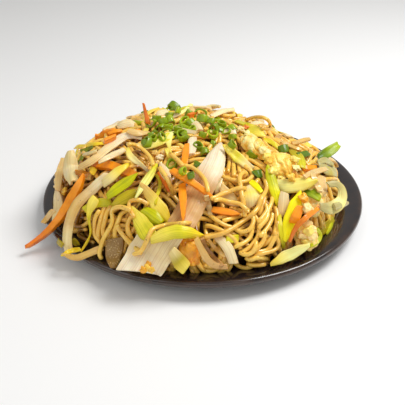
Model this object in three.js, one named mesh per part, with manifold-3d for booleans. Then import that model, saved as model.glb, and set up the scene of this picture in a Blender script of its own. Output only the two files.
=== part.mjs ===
// Yakisoba on its round plate: a mound of fried noodles, with leek, leek leaf, carrot, onion and egg on top
// and cut spring onion sprinkled over the crown.
//
// Units are millimetres and +Z is up. The origin is the middle of the plate's flat foot, and the diner sits
// on the -Y side.
//
// The toppings are laid one after the other, lowest first. Each has a route on the layout sheet, a square
// perspective drawing of the dish from the diner's seat. A route is carried along its lines of sight onto
// what already lies there, so that every piece rests on the pile and keeps clear of its neighbours.

import * as THREE from 'three';
import { mergeVertices } from 'three/addons/utils/BufferGeometryUtils.js';
import { ImprovedNoise } from 'three/addons/math/ImprovedNoise.js';
import Module from 'manifold-3d';

const wasm = await Module();
wasm.setup();

// ---------------------------------------------------------------- driving dimensions

const PLATE = {
  footRadius: 46,
  footEdge: 0.8,
  wellRadius: 58,
  rimRadius: 86,
  wellTop: 4,
  rimTop: 10,
  rimThickness: 3.2,
  lipRadius: 1.4,
  sides: 40,
};

const MOUND = {
  left: 80, // from the middle to each side
  right: 76,
  front: 77,
  back: 67,
  crownShift: -9, // the crown lies left of the middle
  skirt: 9.9, // height of the mound's widest line above the table
  height: 34.5, // from the skirt to the crown
  unevenness: 2.2,
  lumpSize: 27,
  lumpOffset: 21.6, // chooses where the lumps are
  around: 36,
  down: 18,
};

const NOODLE = {
  radius: 1.65,
  sides: 5,
  rise: 0.6, // height of a noodle's middle line over the core
  dip: 1.6, // how far its ends sink below that
  step: 7,
  shortest: 9,
  steepest: 2, // how fast it may run away from the seat
  spare: 0.3, // free space beside it
  spacing: 1, // of the points that a middle line is worked out at
  test: 3, // length of the stretches that are tested for crossings
};
const STRAY = { count: 13, length: 60, farthest: 84, bend: 0.03, seed: 7 }; // noodles all over the mound
const BACK = { count: 8, length: 17, nearest: 25, farthest: 70, bend: 0.02, stride: 4 }; // behind the crown
const RING = { radius: 2.1, wall: 0.8, wallSides: 3, sides: 6, rise: 0.45, lean: 0.5 };
const SUNK = 0.5; // how deep a small topping sits in the core

const GAP = 0.4; // free space between a piece and what it lies on
const LIFT = { step: 0.3, highest: 8 }; // a piece that would cross others is laid higher, by steps
const GUARD = 0.22; // a piece is tested this much larger on every side
const FLOOR_GAP = 0.35; // between the mound and the plate
const SIMPLIFY = 0.06; // how far the joined heap's surface may move to lose needless corners
const GOLDEN_ANGLE = Math.PI * (3 - Math.sqrt(5));
const PASSES = { easing: 5, clearing: 6, share: 0.7, leastGain: 0.4 };

// The layout sheet, and the seat that it is drawn from.
const SHEET = { size: 405, focalLength: 675 };
const SEAT = { distance: 375, elevation: 31, aim: new THREE.Vector3(0, 0, 0) };
const UNITS_PER_MM = SHEET.focalLength / SEAT.distance; // at the middle of the plate
const SEARCH = { before: 130, behind: 130, step: 0.5 }; // around the aim, along a line of sight

// Radial distances of the pile are kept from this point, well below the plate.
const PIVOT = new THREE.Vector3(0, 0, -30);
const FIELD = { scale: 80, half: 124, cell: 1, steepest: 1.4, fineness: 0.65 };
const MIDDLE = FIELD.half / FIELD.cell;

// ---------------------------------------------------------------- the seat's lines of sight

const tilt = THREE.MathUtils.degToRad(SEAT.elevation);
const forward = new THREE.Vector3(0, Math.cos(tilt), -Math.sin(tilt));
const right = new THREE.Vector3(1, 0, 0);
const upward = new THREE.Vector3(0, Math.sin(tilt), Math.cos(tilt));
const eye = SEAT.aim.clone().addScaledVector(forward, -SEAT.distance);

/** The line of sight through a point of the layout sheet. */
function sightLine(x, y) {
  const middle = SHEET.size / 2;
  const direction = forward.clone()
    .addScaledVector(right, (x - middle) / SHEET.focalLength)
    .addScaledVector(upward, (middle - y) / SHEET.focalLength)
    .normalize();
  return new THREE.Ray(eye, direction);
}

// ---------------------------------------------------------------- the pile so far

/** The pile's outer surface as radial distances from PIVOT, over a square map of directions. */
class Pile {
  constructor(other = null) {
    this.size = 2 * FIELD.half / FIELD.cell + 1;
    this.reach = other ? other.reach.slice() : this.tableReach();
  }

  /** Distances to the table top, which all directions meet before anything is laid. */
  tableReach() {
    return Float32Array.from({ length: this.size * this.size }, (_, cell) => {
      const [i, j] = [cell % this.size, Math.floor(cell / this.size)];
      const angle = Math.hypot(i - MIDDLE, j - MIDDLE) * FIELD.cell / FIELD.scale;
      return -PIVOT.z / Math.cos(Math.min(angle, FIELD.steepest));
    });
  }

  /** The point at a height above the surface, at a place of the map in millimetres from its middle. */
  pointAt(u, v, height) {
    const angle = Math.hypot(u, v) / FIELD.scale;
    const flat = Math.sin(angle) / (Math.hypot(u, v) || 1e-9);
    const direction = new THREE.Vector3(u * flat, v * flat, Math.cos(angle));
    const reach = this.reachAt(direction.clone().add(PIVOT));
    return PIVOT.clone().addScaledVector(direction, reach + height);
  }

  /** Map position of a direction: its angle from +Z is the distance from the map's middle. */
  place(point) {
    const [x, y, z] = [point.x - PIVOT.x, point.y - PIVOT.y, point.z - PIVOT.z];
    const flat = Math.hypot(x, y) || 1e-9;
    const along = FIELD.scale * Math.atan2(flat, z) / flat;
    const limit = this.size - 1.001;
    return [x, y].map((side) => THREE.MathUtils.clamp(MIDDLE + side * along / FIELD.cell, 0, limit));
  }

  /** Distance from PIVOT to the surface, in the direction of a point. */
  reachAt(point) {
    const [u, v] = this.place(point);
    const [i, j] = [Math.floor(u), Math.floor(v)];
    const [s, t] = [u - i, v - j];
    const at = (a, b) => this.reach[(j + b) * this.size + i + a];
    return (at(0, 0) * (1 - s) + at(1, 0) * s) * (1 - t) + (at(0, 1) * (1 - s) + at(1, 1) * s) * t;
  }

  clearance(point) {
    return point.distanceTo(PIVOT) - this.reachAt(point);
  }

  /** Raises the surface to a point, in the four cells around it. */
  mark(point) {
    const [u, v] = this.place(point);
    const reach = point.distanceTo(PIVOT);
    for (const i of [Math.floor(u), Math.ceil(u)]) {
      for (const j of [Math.floor(v), Math.ceil(v)]) {
        const cell = j * this.size + i;
        this.reach[cell] = Math.max(this.reach[cell], reach);
      }
    }
  }

  /** Adds a mesh by points spread closely over its triangles. */
  add(geometry) {
    const corners = [0, 1, 2].map(() => new THREE.Vector3());
    const { index, attributes: { position } } = geometry;
    for (let face = 0; face < index.count; face += 3) {
      corners.forEach((corner, k) => corner.fromBufferAttribute(position, index.getX(face + k)));
      const sides = corners.map((corner, k) => corner.distanceTo(corners[(k + 1) % 3]));
      const cuts = Math.ceil(Math.max(...sides) / (FIELD.fineness * FIELD.cell));
      for (let a = 0; a <= cuts; a++) {
        for (let b = 0; b <= cuts - a; b++) {
          this.mark(new THREE.Vector3()
            .addScaledVector(corners[0], a / cuts)
            .addScaledVector(corners[1], b / cuts)
            .addScaledVector(corners[2], (cuts - a - b) / cuts));
        }
      }
    }
  }

  /** How far along a line of sight a point comes to lie `height` above the surface. */
  depthAlong(ray, height) {
    const probe = new THREE.Vector3();
    const far = SEAT.distance + SEARCH.behind;
    for (let depth = SEAT.distance - SEARCH.before; depth < far; depth += SEARCH.step) {
      if (this.clearance(ray.at(depth, probe)) <= height) return depth;
    }
    return far;
  }
}

// ---------------------------------------------------------------- solids from meshes

/** Closes a geometry into an indexed mesh that holds positions only. */
function closed(geometry) {
  const copy = geometry.clone();
  copy.deleteAttribute('normal');
  copy.deleteAttribute('uv');
  return mergeVertices(copy, 1e-4);
}

function toSolid(geometry) {
  return new wasm.Manifold(new wasm.Mesh({
    numProp: 3,
    vertProperties: new Float32Array(geometry.attributes.position.array),
    triVerts: new Uint32Array(geometry.index.array),
  }));
}

function toGeometry(solid) {
  const mesh = solid.getMesh();
  const geometry = new THREE.BufferGeometry();
  geometry.setAttribute('position', new THREE.BufferAttribute(new Float32Array(mesh.vertProperties), 3));
  geometry.setIndex(new THREE.BufferAttribute(new Uint32Array(mesh.triVerts), 1));
  return geometry;
}

function boxesMeet(a, b) {
  return [0, 1, 2].every((k) => a.min[k] < b.max[k] && b.min[k] < a.max[k]);
}

/** Whether a solid crosses any of the solids laid before it. */
function crossesAny(solid, others) {
  const box = solid.boundingBox();
  const crosses = (other) => solid.intersect(other).volume() > 1e-3;
  return others.some((other) => boxesMeet(box, other.boundingBox()) && crosses(other));
}

// ---------------------------------------------------------------- lofted pieces

/**
 * Joins a row of sections into a closed solid. A section is a flat ring of points: first the outer row
 * from one edge to the other, then the inner row back again, `across` + 1 points each.
 */
function loft(sections, across) {
  const ring = 2 * (across + 1);
  const positions = sections.flat().flatMap((point) => point.toArray());
  const index = [];
  const at = (station, k) => station * ring + (k % ring);
  for (let i = 0; i < sections.length - 1; i++) {
    for (let k = 0; k < ring; k++) {
      const [a, b, c, d] = [at(i, k), at(i, k + 1), at(i + 1, k + 1), at(i + 1, k)];
      // The inner face is split the other way round, so that both faces have the same diagonals.
      if (k <= across) index.push(a, b, c, a, c, d);
      else index.push(a, b, d, b, c, d);
    }
  }
  const last = sections.length - 1;
  for (let k = 0; k < across; k++) {
    const cap = (station) => [k, k + 1, ring - 2 - k, ring - 1 - k].map((corner) => at(station, corner));
    const [a, b, c, d] = cap(0);
    index.push(a, d, c, a, c, b);
    const [e, f, g, h] = cap(last);
    index.push(e, g, h, e, f, g);
  }
  const geometry = new THREE.BufferGeometry();
  geometry.setAttribute('position', new THREE.Float32BufferAttribute(positions, 3));
  geometry.setIndex(index);
  return geometry;
}

/** Outward direction of the mound's smooth form at a point. */
function moundNormal(point) {
  return new THREE.Vector3(
    point.x / (point.x < 0 ? MOUND.left : MOUND.right) ** 2,
    point.y / (point.y < 0 ? MOUND.front : MOUND.back) ** 2,
    Math.max(point.z - MOUND.skirt, 4) / MOUND.height ** 2,
  ).normalize();
}

/** Frames along a row of points: where each lies, its sideways direction and its outward direction. */
function framesAlong(points, shape) {
  return points.map((point, i) => {
    const before = points[Math.max(i - 1, 0)];
    const after = points[Math.min(i + 1, points.length - 1)];
    const along = after.clone().sub(before).normalize();
    const toSeat = eye.clone().sub(point).normalize();
    const outward = moundNormal(point).lerp(toSeat, shape.facing).normalize();
    const sideways = along.clone().cross(outward).normalize();
    const part = i / (points.length - 1);
    return { point, part, sideways, outward: sideways.clone().cross(along).normalize() };
  });
}

/** Width of a piece at a part of its length: full in the middle and narrower at tapered ends. */
function widthAt(shape, part) {
  const [start, end] = shape.taper;
  const rise = (x) => THREE.MathUtils.smoothstep(x, 0, shape.taperLength);
  const widen = (x, from) => THREE.MathUtils.lerp(from, 1, rise(x));
  return shape.width * widen(part, start) * widen(1 - part, end);
}

/** The section of a strip at a frame, grown by a margin on every side. */
function sectionAt(frame, shape, margin = 0) {
  const half = widthAt(shape, frame.part) / 2 + margin;
  const thick = shape.thickness / 2 + margin;
  const wave = shape.wave * (1 - Math.cos(2 * Math.PI * shape.waves * frame.part)) / 2;
  const row = (side, order) => order.map((k) => {
    const t = 2 * k / shape.across - 1;
    const bow = shape.cup * (shape.cup > 0 ? 1 - t * t : -t * t) + wave;
    return frame.point.clone()
      .addScaledVector(frame.sideways, t * half)
      .addScaledVector(frame.outward, bow + side * thick);
  });
  const order = Array.from({ length: shape.across + 1 }, (_, k) => k);
  return [...row(1, order), ...row(-1, [...order].reverse())];
}

const STRIP = {
  across: 1, // faces across the width
  taper: [0.75, 0.75], // width at both ends, as a share of the full width
  taperLength: 0.3,
  cup: 0, // height of the middle over the edges
  wave: 0,
  waves: 2,
  facing: 0.45, // 0 lies flat on the mound, 1 faces the seat
  stiffness: 0.5,
  steepest: 1.9, // how fast it may run away from the seat
  step: 6,
};

/** A smooth curve through a route's points. Its z is the height above the pile. */
function sheetCurve(route) {
  const points = route.map(([x, y, height = 0]) => new THREE.Vector3(x, y, height));
  return new THREE.CatmullRomCurve3(points, false, 'centripetal');
}

/** Carries a route of the layout sheet onto the pile, and gives the points of its middle line. */
function carry(route, shape, pile, lift) {
  const curve = sheetCurve(route);
  const length = curve.getLength() / UNITS_PER_MM;
  const steps = Math.max(4, Math.round(length / shape.step));
  const stations = curve.getSpacedPoints(steps);
  const rays = stations.map((station) => sightLine(station.x, station.y));
  const height = shape.thickness / 2 + lift;
  const depths = rays.map((ray, i) => pile.depthAlong(ray, height + stations[i].z));
  const points = () => rays.map((ray, i) => ray.at(depths[i], new THREE.Vector3()));

  limitSlope(depths, shape.steepest * length / steps);
  for (let pass = 0; pass < PASSES.easing; pass++) {
    ease(depths, shape.stiffness);
    pushOff(depths, rays, framesAlong(points(), shape), shape, pile, lift);
  }
  for (let pass = 0; pass < PASSES.clearing; pass++) {
    pushOff(depths, rays, framesAlong(points(), shape), shape, pile, lift);
  }
  return points();
}

/** Brings stations that fell far behind their neighbours forward again. */
function limitSlope(depths, steepest) {
  for (let i = 1; i < depths.length; i++) depths[i] = Math.min(depths[i], depths[i - 1] + steepest);
  for (let i = depths.length - 2; i >= 0; i--) depths[i] = Math.min(depths[i], depths[i + 1] + steepest);
}

/** Evens a row of depths out, so that a piece bridges small hollows and bends gently. */
function ease(depths, stiffness) {
  const before = [...depths];
  for (let i = 1; i < depths.length - 1; i++) {
    depths[i] = THREE.MathUtils.lerp(before[i], (before[i - 1] + before[i + 1]) / 2, stiffness);
  }
}

/** Moves stations towards the seat until the inner face of each stretch is clear of the pile. */
function pushOff(depths, rays, frames, shape, pile, lift) {
  const push = depths.map(() => 0);
  const last = frames.length - 1;
  for (let i = 0; i <= last; i++) {
    for (const between of i < last ? [0, 1 / 3, 2 / 3] : [0]) {
      const next = frames[Math.min(i + 1, last)];
      const frame = {
        point: frames[i].point.clone().lerp(next.point, between),
        sideways: frames[i].sideways.clone().lerp(next.sideways, between).normalize(),
        outward: frames[i].outward.clone().lerp(next.outward, between).normalize(),
        part: THREE.MathUtils.lerp(frames[i].part, next.part, between),
      };
      const clear = Math.min(...sectionAt(frame, shape).map((corner) => pile.clearance(corner)));
      const short = lift - clear;
      if (short <= 0) continue;
      const outward = frame.point.clone().sub(PIVOT).normalize();
      const gain = Math.max(PASSES.leastGain, -rays[i].direction.dot(outward));
      push[i] = Math.max(push[i], short / gain);
      if (between > 0) push[i + 1] = Math.max(push[i + 1], short / gain);
    }
  }
  push.forEach((amount, i) => {
    depths[i] -= PASSES.share * amount;
  });
}

/** A strip whose middle line runs through the points. */
function stripThrough(points, shape, margin = 0) {
  return loft(framesAlong(points, shape).map((frame) => sectionAt(frame, shape, margin)), shape.across);
}

/** Lays one strip on the pile, a little higher each time until it crosses nothing. */
function layStrip(route, shape, pile, laid) {
  for (let lift = GAP; lift < LIFT.highest; lift += LIFT.step) {
    const points = carry(route, shape, pile, lift);
    if (!crossesAny(toSolid(stripThrough(points, shape, GUARD)), laid)) return stripThrough(points, shape);
  }
  throw new Error('no free place on the route from ' + route[0]);
}

const noise = new ImprovedNoise();

const LUMP = { detail: 2, bumpSize: 2.1, facing: 0.3, sink: 0.35, leastHeight: 1.4 };

/** Where a lump lies: its middle, and the directions of its width, length and height. */
function lumpFrame([x, y], size, pile, lift) {
  const ray = sightLine(x, y);
  const point = ray.at(pile.depthAlong(ray, lift + size.height * LUMP.sink), new THREE.Vector3());
  const toSeat = eye.clone().sub(point).normalize();
  const outward = moundNormal(point).lerp(toSeat, LUMP.facing).normalize();
  const sideways = right.clone().applyAxisAngle(outward, THREE.MathUtils.degToRad(size.turn));
  sideways.addScaledVector(outward, -sideways.dot(outward)).normalize();
  return { point, sideways, along: outward.clone().cross(sideways), outward };
}

/** A bumpy ball in a frame, grown by a margin, whose under side follows the pile. */
function lumpGeometry(frame, size, pile, lift, margin = 0) {
  const lump = closed(new THREE.IcosahedronGeometry(1, LUMP.detail));
  const { position } = lump.attributes;
  for (let i = 0; i < position.count; i++) {
    const unit = new THREE.Vector3().fromBufferAttribute(position, i);
    const [x, y, z] = unit.clone().multiplyScalar(LUMP.bumpSize).toArray();
    const swell = (1 + size.bumps * noise.noise(x + size.seed, y, z)) / 2;
    const corner = frame.point.clone()
      .addScaledVector(frame.sideways, unit.x * (swell * size.width + margin))
      .addScaledVector(frame.along, unit.y * (swell * size.length + margin))
      .addScaledVector(frame.outward, unit.z * (swell * size.height + margin));
    const lowest = pile.reachAt(corner) + lift + LUMP.leastHeight * Math.max(unit.z, 0) - margin;
    const reach = corner.distanceTo(PIVOT);
    if (reach < lowest) corner.sub(PIVOT).multiplyScalar(lowest / reach).add(PIVOT);
    position.setXYZ(i, ...corner.toArray());
  }
  return lump;
}

/** Lays one lump on the pile, a little higher each time until it crosses nothing. */
function layLump(place, size, pile, laid) {
  for (let lift = GAP; lift < LIFT.highest; lift += LIFT.step) {
    const frame = lumpFrame(place, size, pile, lift);
    const guard = toSolid(lumpGeometry(frame, size, pile, lift, GUARD));
    if (!crossesAny(guard, laid)) return lumpGeometry(frame, size, pile, lift);
  }
  throw new Error('no free place for the lump at ' + place);
}

// ---------------------------------------------------------------- plate

/** Height of the plate's upper face at a distance from the middle. */
function plateTop(radius) {
  const rise = THREE.MathUtils.smoothstep(radius, PLATE.wellRadius, PLATE.rimRadius - PLATE.lipRadius);
  return PLATE.wellTop + (PLATE.rimTop - PLATE.wellTop) * rise;
}

/** The plate is turned: under side, lip and upper face. */
function plateGeometry() {
  const inner = PLATE.rimRadius - PLATE.lipRadius;
  const profile = [new THREE.Vector2(0, 0), new THREE.Vector2(PLATE.footRadius - PLATE.footEdge, 0),
    new THREE.Vector2(PLATE.footRadius, PLATE.footEdge)];
  for (const part of [0.35, 0.7, 1]) {
    const radius = THREE.MathUtils.lerp(PLATE.footRadius, inner, part);
    const under = Math.max(PLATE.footEdge, plateTop(radius) - PLATE.rimThickness);
    profile.push(new THREE.Vector2(radius, under));
  }
  profile.push(new THREE.Vector2(PLATE.rimRadius, PLATE.rimTop - PLATE.rimThickness / 2));
  for (const part of [1, 0.75, 0.5, 0.25, 0]) {
    const radius = THREE.MathUtils.lerp(PLATE.wellRadius, inner, part);
    profile.push(new THREE.Vector2(radius, plateTop(radius)));
  }
  profile.push(new THREE.Vector2(0, PLATE.wellTop));
  return closed(new THREE.LatheGeometry(profile, PLATE.sides).rotateX(Math.PI / 2));
}

// ---------------------------------------------------------------- the mound's bare core

/** A dome with low lumps, whose under side follows the plate. */
function coreGeometry() {
  const core = closed(new THREE.SphereGeometry(1, MOUND.around, MOUND.down).rotateX(Math.PI / 2));
  const { position } = core.attributes;
  for (let i = 0; i < position.count; i++) {
    const unit = new THREE.Vector3().fromBufferAttribute(position, i);
    const x = unit.x * (unit.x < 0 ? MOUND.left : MOUND.right);
    const y = unit.y * (unit.y < 0 ? MOUND.front : MOUND.back);
    const floor = plateTop(Math.hypot(x, y)) + FLOOR_GAP;
    if (unit.z < 0.01) {
      position.setXYZ(i, x, y, unit.z < -0.01 ? floor : MOUND.skirt);
      continue;
    }
    const lump = noise.noise(x / MOUND.lumpSize + MOUND.lumpOffset, y / MOUND.lumpSize, unit.z);
    const swell = 1 + MOUND.unevenness / MOUND.height * lump;
    const shift = MOUND.crownShift * unit.z ** 2;
    position.setXYZ(i, x * swell + shift, y * swell, MOUND.skirt + unit.z * MOUND.height * swell);
  }
  return core;
}

// ---------------------------------------------------------------- noodles and small toppings on the core

/** Repeatable random numbers from 0 to 1. */
function randomFrom(seed) {
  let state = seed;
  return () => {
    state = (state * 1664525 + 1013904223) % 2 ** 32;
    return state / 2 ** 32;
  };
}

/** A noodle's middle line along a route of the layout sheet. */
function noodleOnRoute(route) {
  const curve = sheetCurve(route);
  const count = Math.round(curve.getLength() / UNITS_PER_MM / NOODLE.spacing);
  const stations = curve.getSpacedPoints(count);
  const rays = stations.map((station) => sightLine(station.x, station.y));
  const depths = rays.map((ray, i) => bare.depthAlong(ray, NOODLE.rise + stations[i].z));
  limitSlope(depths, NOODLE.steepest * NOODLE.spacing);
  return rays.map((ray, i) => ray.at(depths[i], new THREE.Vector3()));
}

/** A line that wanders over the core from a place of the map, given by its angle and its distance. */
function wander(angle, away, { length, bend }, height, random) {
  let [u, v] = [away * Math.cos(angle), away * Math.sin(angle)];
  let heading = 2 * Math.PI * random();
  let turn = bend * (2 * random() - 1);
  const points = [];
  for (let walked = 0; walked < length; walked += NOODLE.spacing) {
    points.push(bare.pointAt(u, v, height));
    turn += 0.3 * bend * (random() - 0.5);
    heading += turn * NOODLE.spacing;
    u += Math.cos(heading) * NOODLE.spacing;
    v += Math.sin(heading) * NOODLE.spacing;
  }
  return points;
}

/** A tube along a middle line. Its ends dip into the core by `dip`. */
function tubeGeometry(points, radius, dip) {
  const dipped = points.map((point, i) => {
    const isEnd = i === 0 || i === points.length - 1;
    return point.clone().addScaledVector(moundNormal(point), isEnd ? -dip : 0);
  });
  const path = new THREE.CatmullRomCurve3(dipped, false, 'centripetal');
  const round = new THREE.Shape();
  for (let k = 0; k < NOODLE.sides; k++) {
    const angle = 2 * Math.PI * k / NOODLE.sides;
    round[k === 0 ? 'moveTo' : 'lineTo'](radius * Math.cos(angle), radius * Math.sin(angle));
  }
  const steps = Math.max(2, Math.round(path.getLength() / NOODLE.step));
  return closed(new THREE.ExtrudeGeometry(round, { steps, bevelEnabled: false, extrudePath: path }));
}

/** The stretches of a middle line that are clear of the plate and of the toppings. */
function freeRuns(points, neighbours) {
  const runs = [[]];
  const reach = Math.round(NOODLE.test / NOODLE.spacing);
  for (let i = 0; i + reach < points.length; i++) {
    const stretch = points.slice(i, i + reach + 1);
    const isFree = !crossesAny(toSolid(tubeGeometry(stretch, NOODLE.radius + NOODLE.spare, 0)), neighbours);
    if (isFree) runs.at(-1).push(...(runs.at(-1).length ? [stretch.at(-1)] : stretch));
    else if (runs.at(-1).length > 0) runs.push([]);
  }
  return runs.filter((run) => run.length * NOODLE.spacing > NOODLE.shortest);
}

/** A cut ring of spring onion, half sunk in the core. */
function ringGeometry([x, y], random) {
  const ray = sightLine(x, y);
  const point = ray.at(bare.depthAlong(ray, RING.rise), new THREE.Vector3());
  const lean = new THREE.Vector3(random() - 0.5, random() - 0.5, 0).multiplyScalar(RING.lean);
  const outward = moundNormal(point).add(lean).normalize();
  const ring = new THREE.TorusGeometry(RING.radius, RING.wall, RING.wallSides, RING.sides);
  ring.applyQuaternion(new THREE.Quaternion().setFromUnitVectors(new THREE.Vector3(0, 0, 1), outward));
  return closed(ring.translate(...point.toArray()));
}

/** Joins solids, and keeps the one body without loose scraps or sealed hollows. */
function joined(solids) {
  const parts = wasm.Manifold.union(solids).decompose();
  const largest = parts.reduce((best, part) => (part.volume() > best.volume() ? part : best));
  return largest.simplify(SIMPLIFY);
}

/** Adds noodles, spring onion and the small toppings of the back to the solids of the heap. */
function heapGeometry(solids, neighbours) {
  const random = randomFrom(STRAY.seed);
  const addFree = (geometry) => {
    const solid = toSolid(geometry);
    if (!crossesAny(solid, neighbours)) solids.push(solid);
  };
  const middleLines = NOODLES.map(noodleOnRoute);
  for (let k = 0; k < STRAY.count; k++) {
    const away = STRAY.farthest * Math.sqrt((k + 0.5) / STRAY.count);
    middleLines.push(wander(k * GOLDEN_ANGLE, away, STRAY, NOODLE.rise, random));
  }
  for (const line of middleLines) {
    for (const run of freeRuns(line, neighbours)) addFree(tubeGeometry(run, NOODLE.radius, NOODLE.dip));
  }
  for (const place of RINGS) addFree(ringGeometry(place, random));
  for (let k = 0; k < BACK.count; k++) {
    const part = (k + 0.5) / BACK.count;
    const away = THREE.MathUtils.lerp(BACK.nearest, BACK.farthest, random());
    const shape = BACK_KINDS[k % BACK_KINDS.length];
    const points = wander(Math.PI * part, away, BACK, shape.thickness / 2 - SUNK, random);
    const stations = points.filter((_, i) => i % BACK.stride === 0);
    addFree(stripThrough(stations, { ...shape, facing: 0 }));
  }
  return toGeometry(joined(solids));
}

// ---------------------------------------------------------------- toppings

const COLOURS = {
  plate: 0x17131a,
  noodles: 0xd9a951,
  carrot: 0xf59a2e,
  whiteLeek: 0xf4e6cb,
  yellowLeaf: 0xe8d95a,
  greenLeaf: 0xb9b90f,
  stalk: 0xdfc184,
  egg: 0xf9d98a,
  mushroom: 0x8a6538,
};

const kind = (defaults) => (width, more = {}) => ({ ...STRIP, ...defaults, width, ...more });
const carrot = kind({ colour: 'carrot', thickness: 3, stiffness: 0.7, taper: [0.85, 0.85] });
const leek = kind({ colour: 'whiteLeek', thickness: 1.8, across: 2, cup: 0.5 });
const leaf = kind({ colour: 'yellowLeaf', thickness: 1.1, across: 2, wave: 0.5 });
const green = kind({ colour: 'greenLeaf', thickness: 1.1, across: 2, wave: 0.5 });
const onion = kind({ colour: 'stalk', thickness: 1.5 });
const mushroom = kind({ colour: 'mushroom', thickness: 2 });

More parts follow.
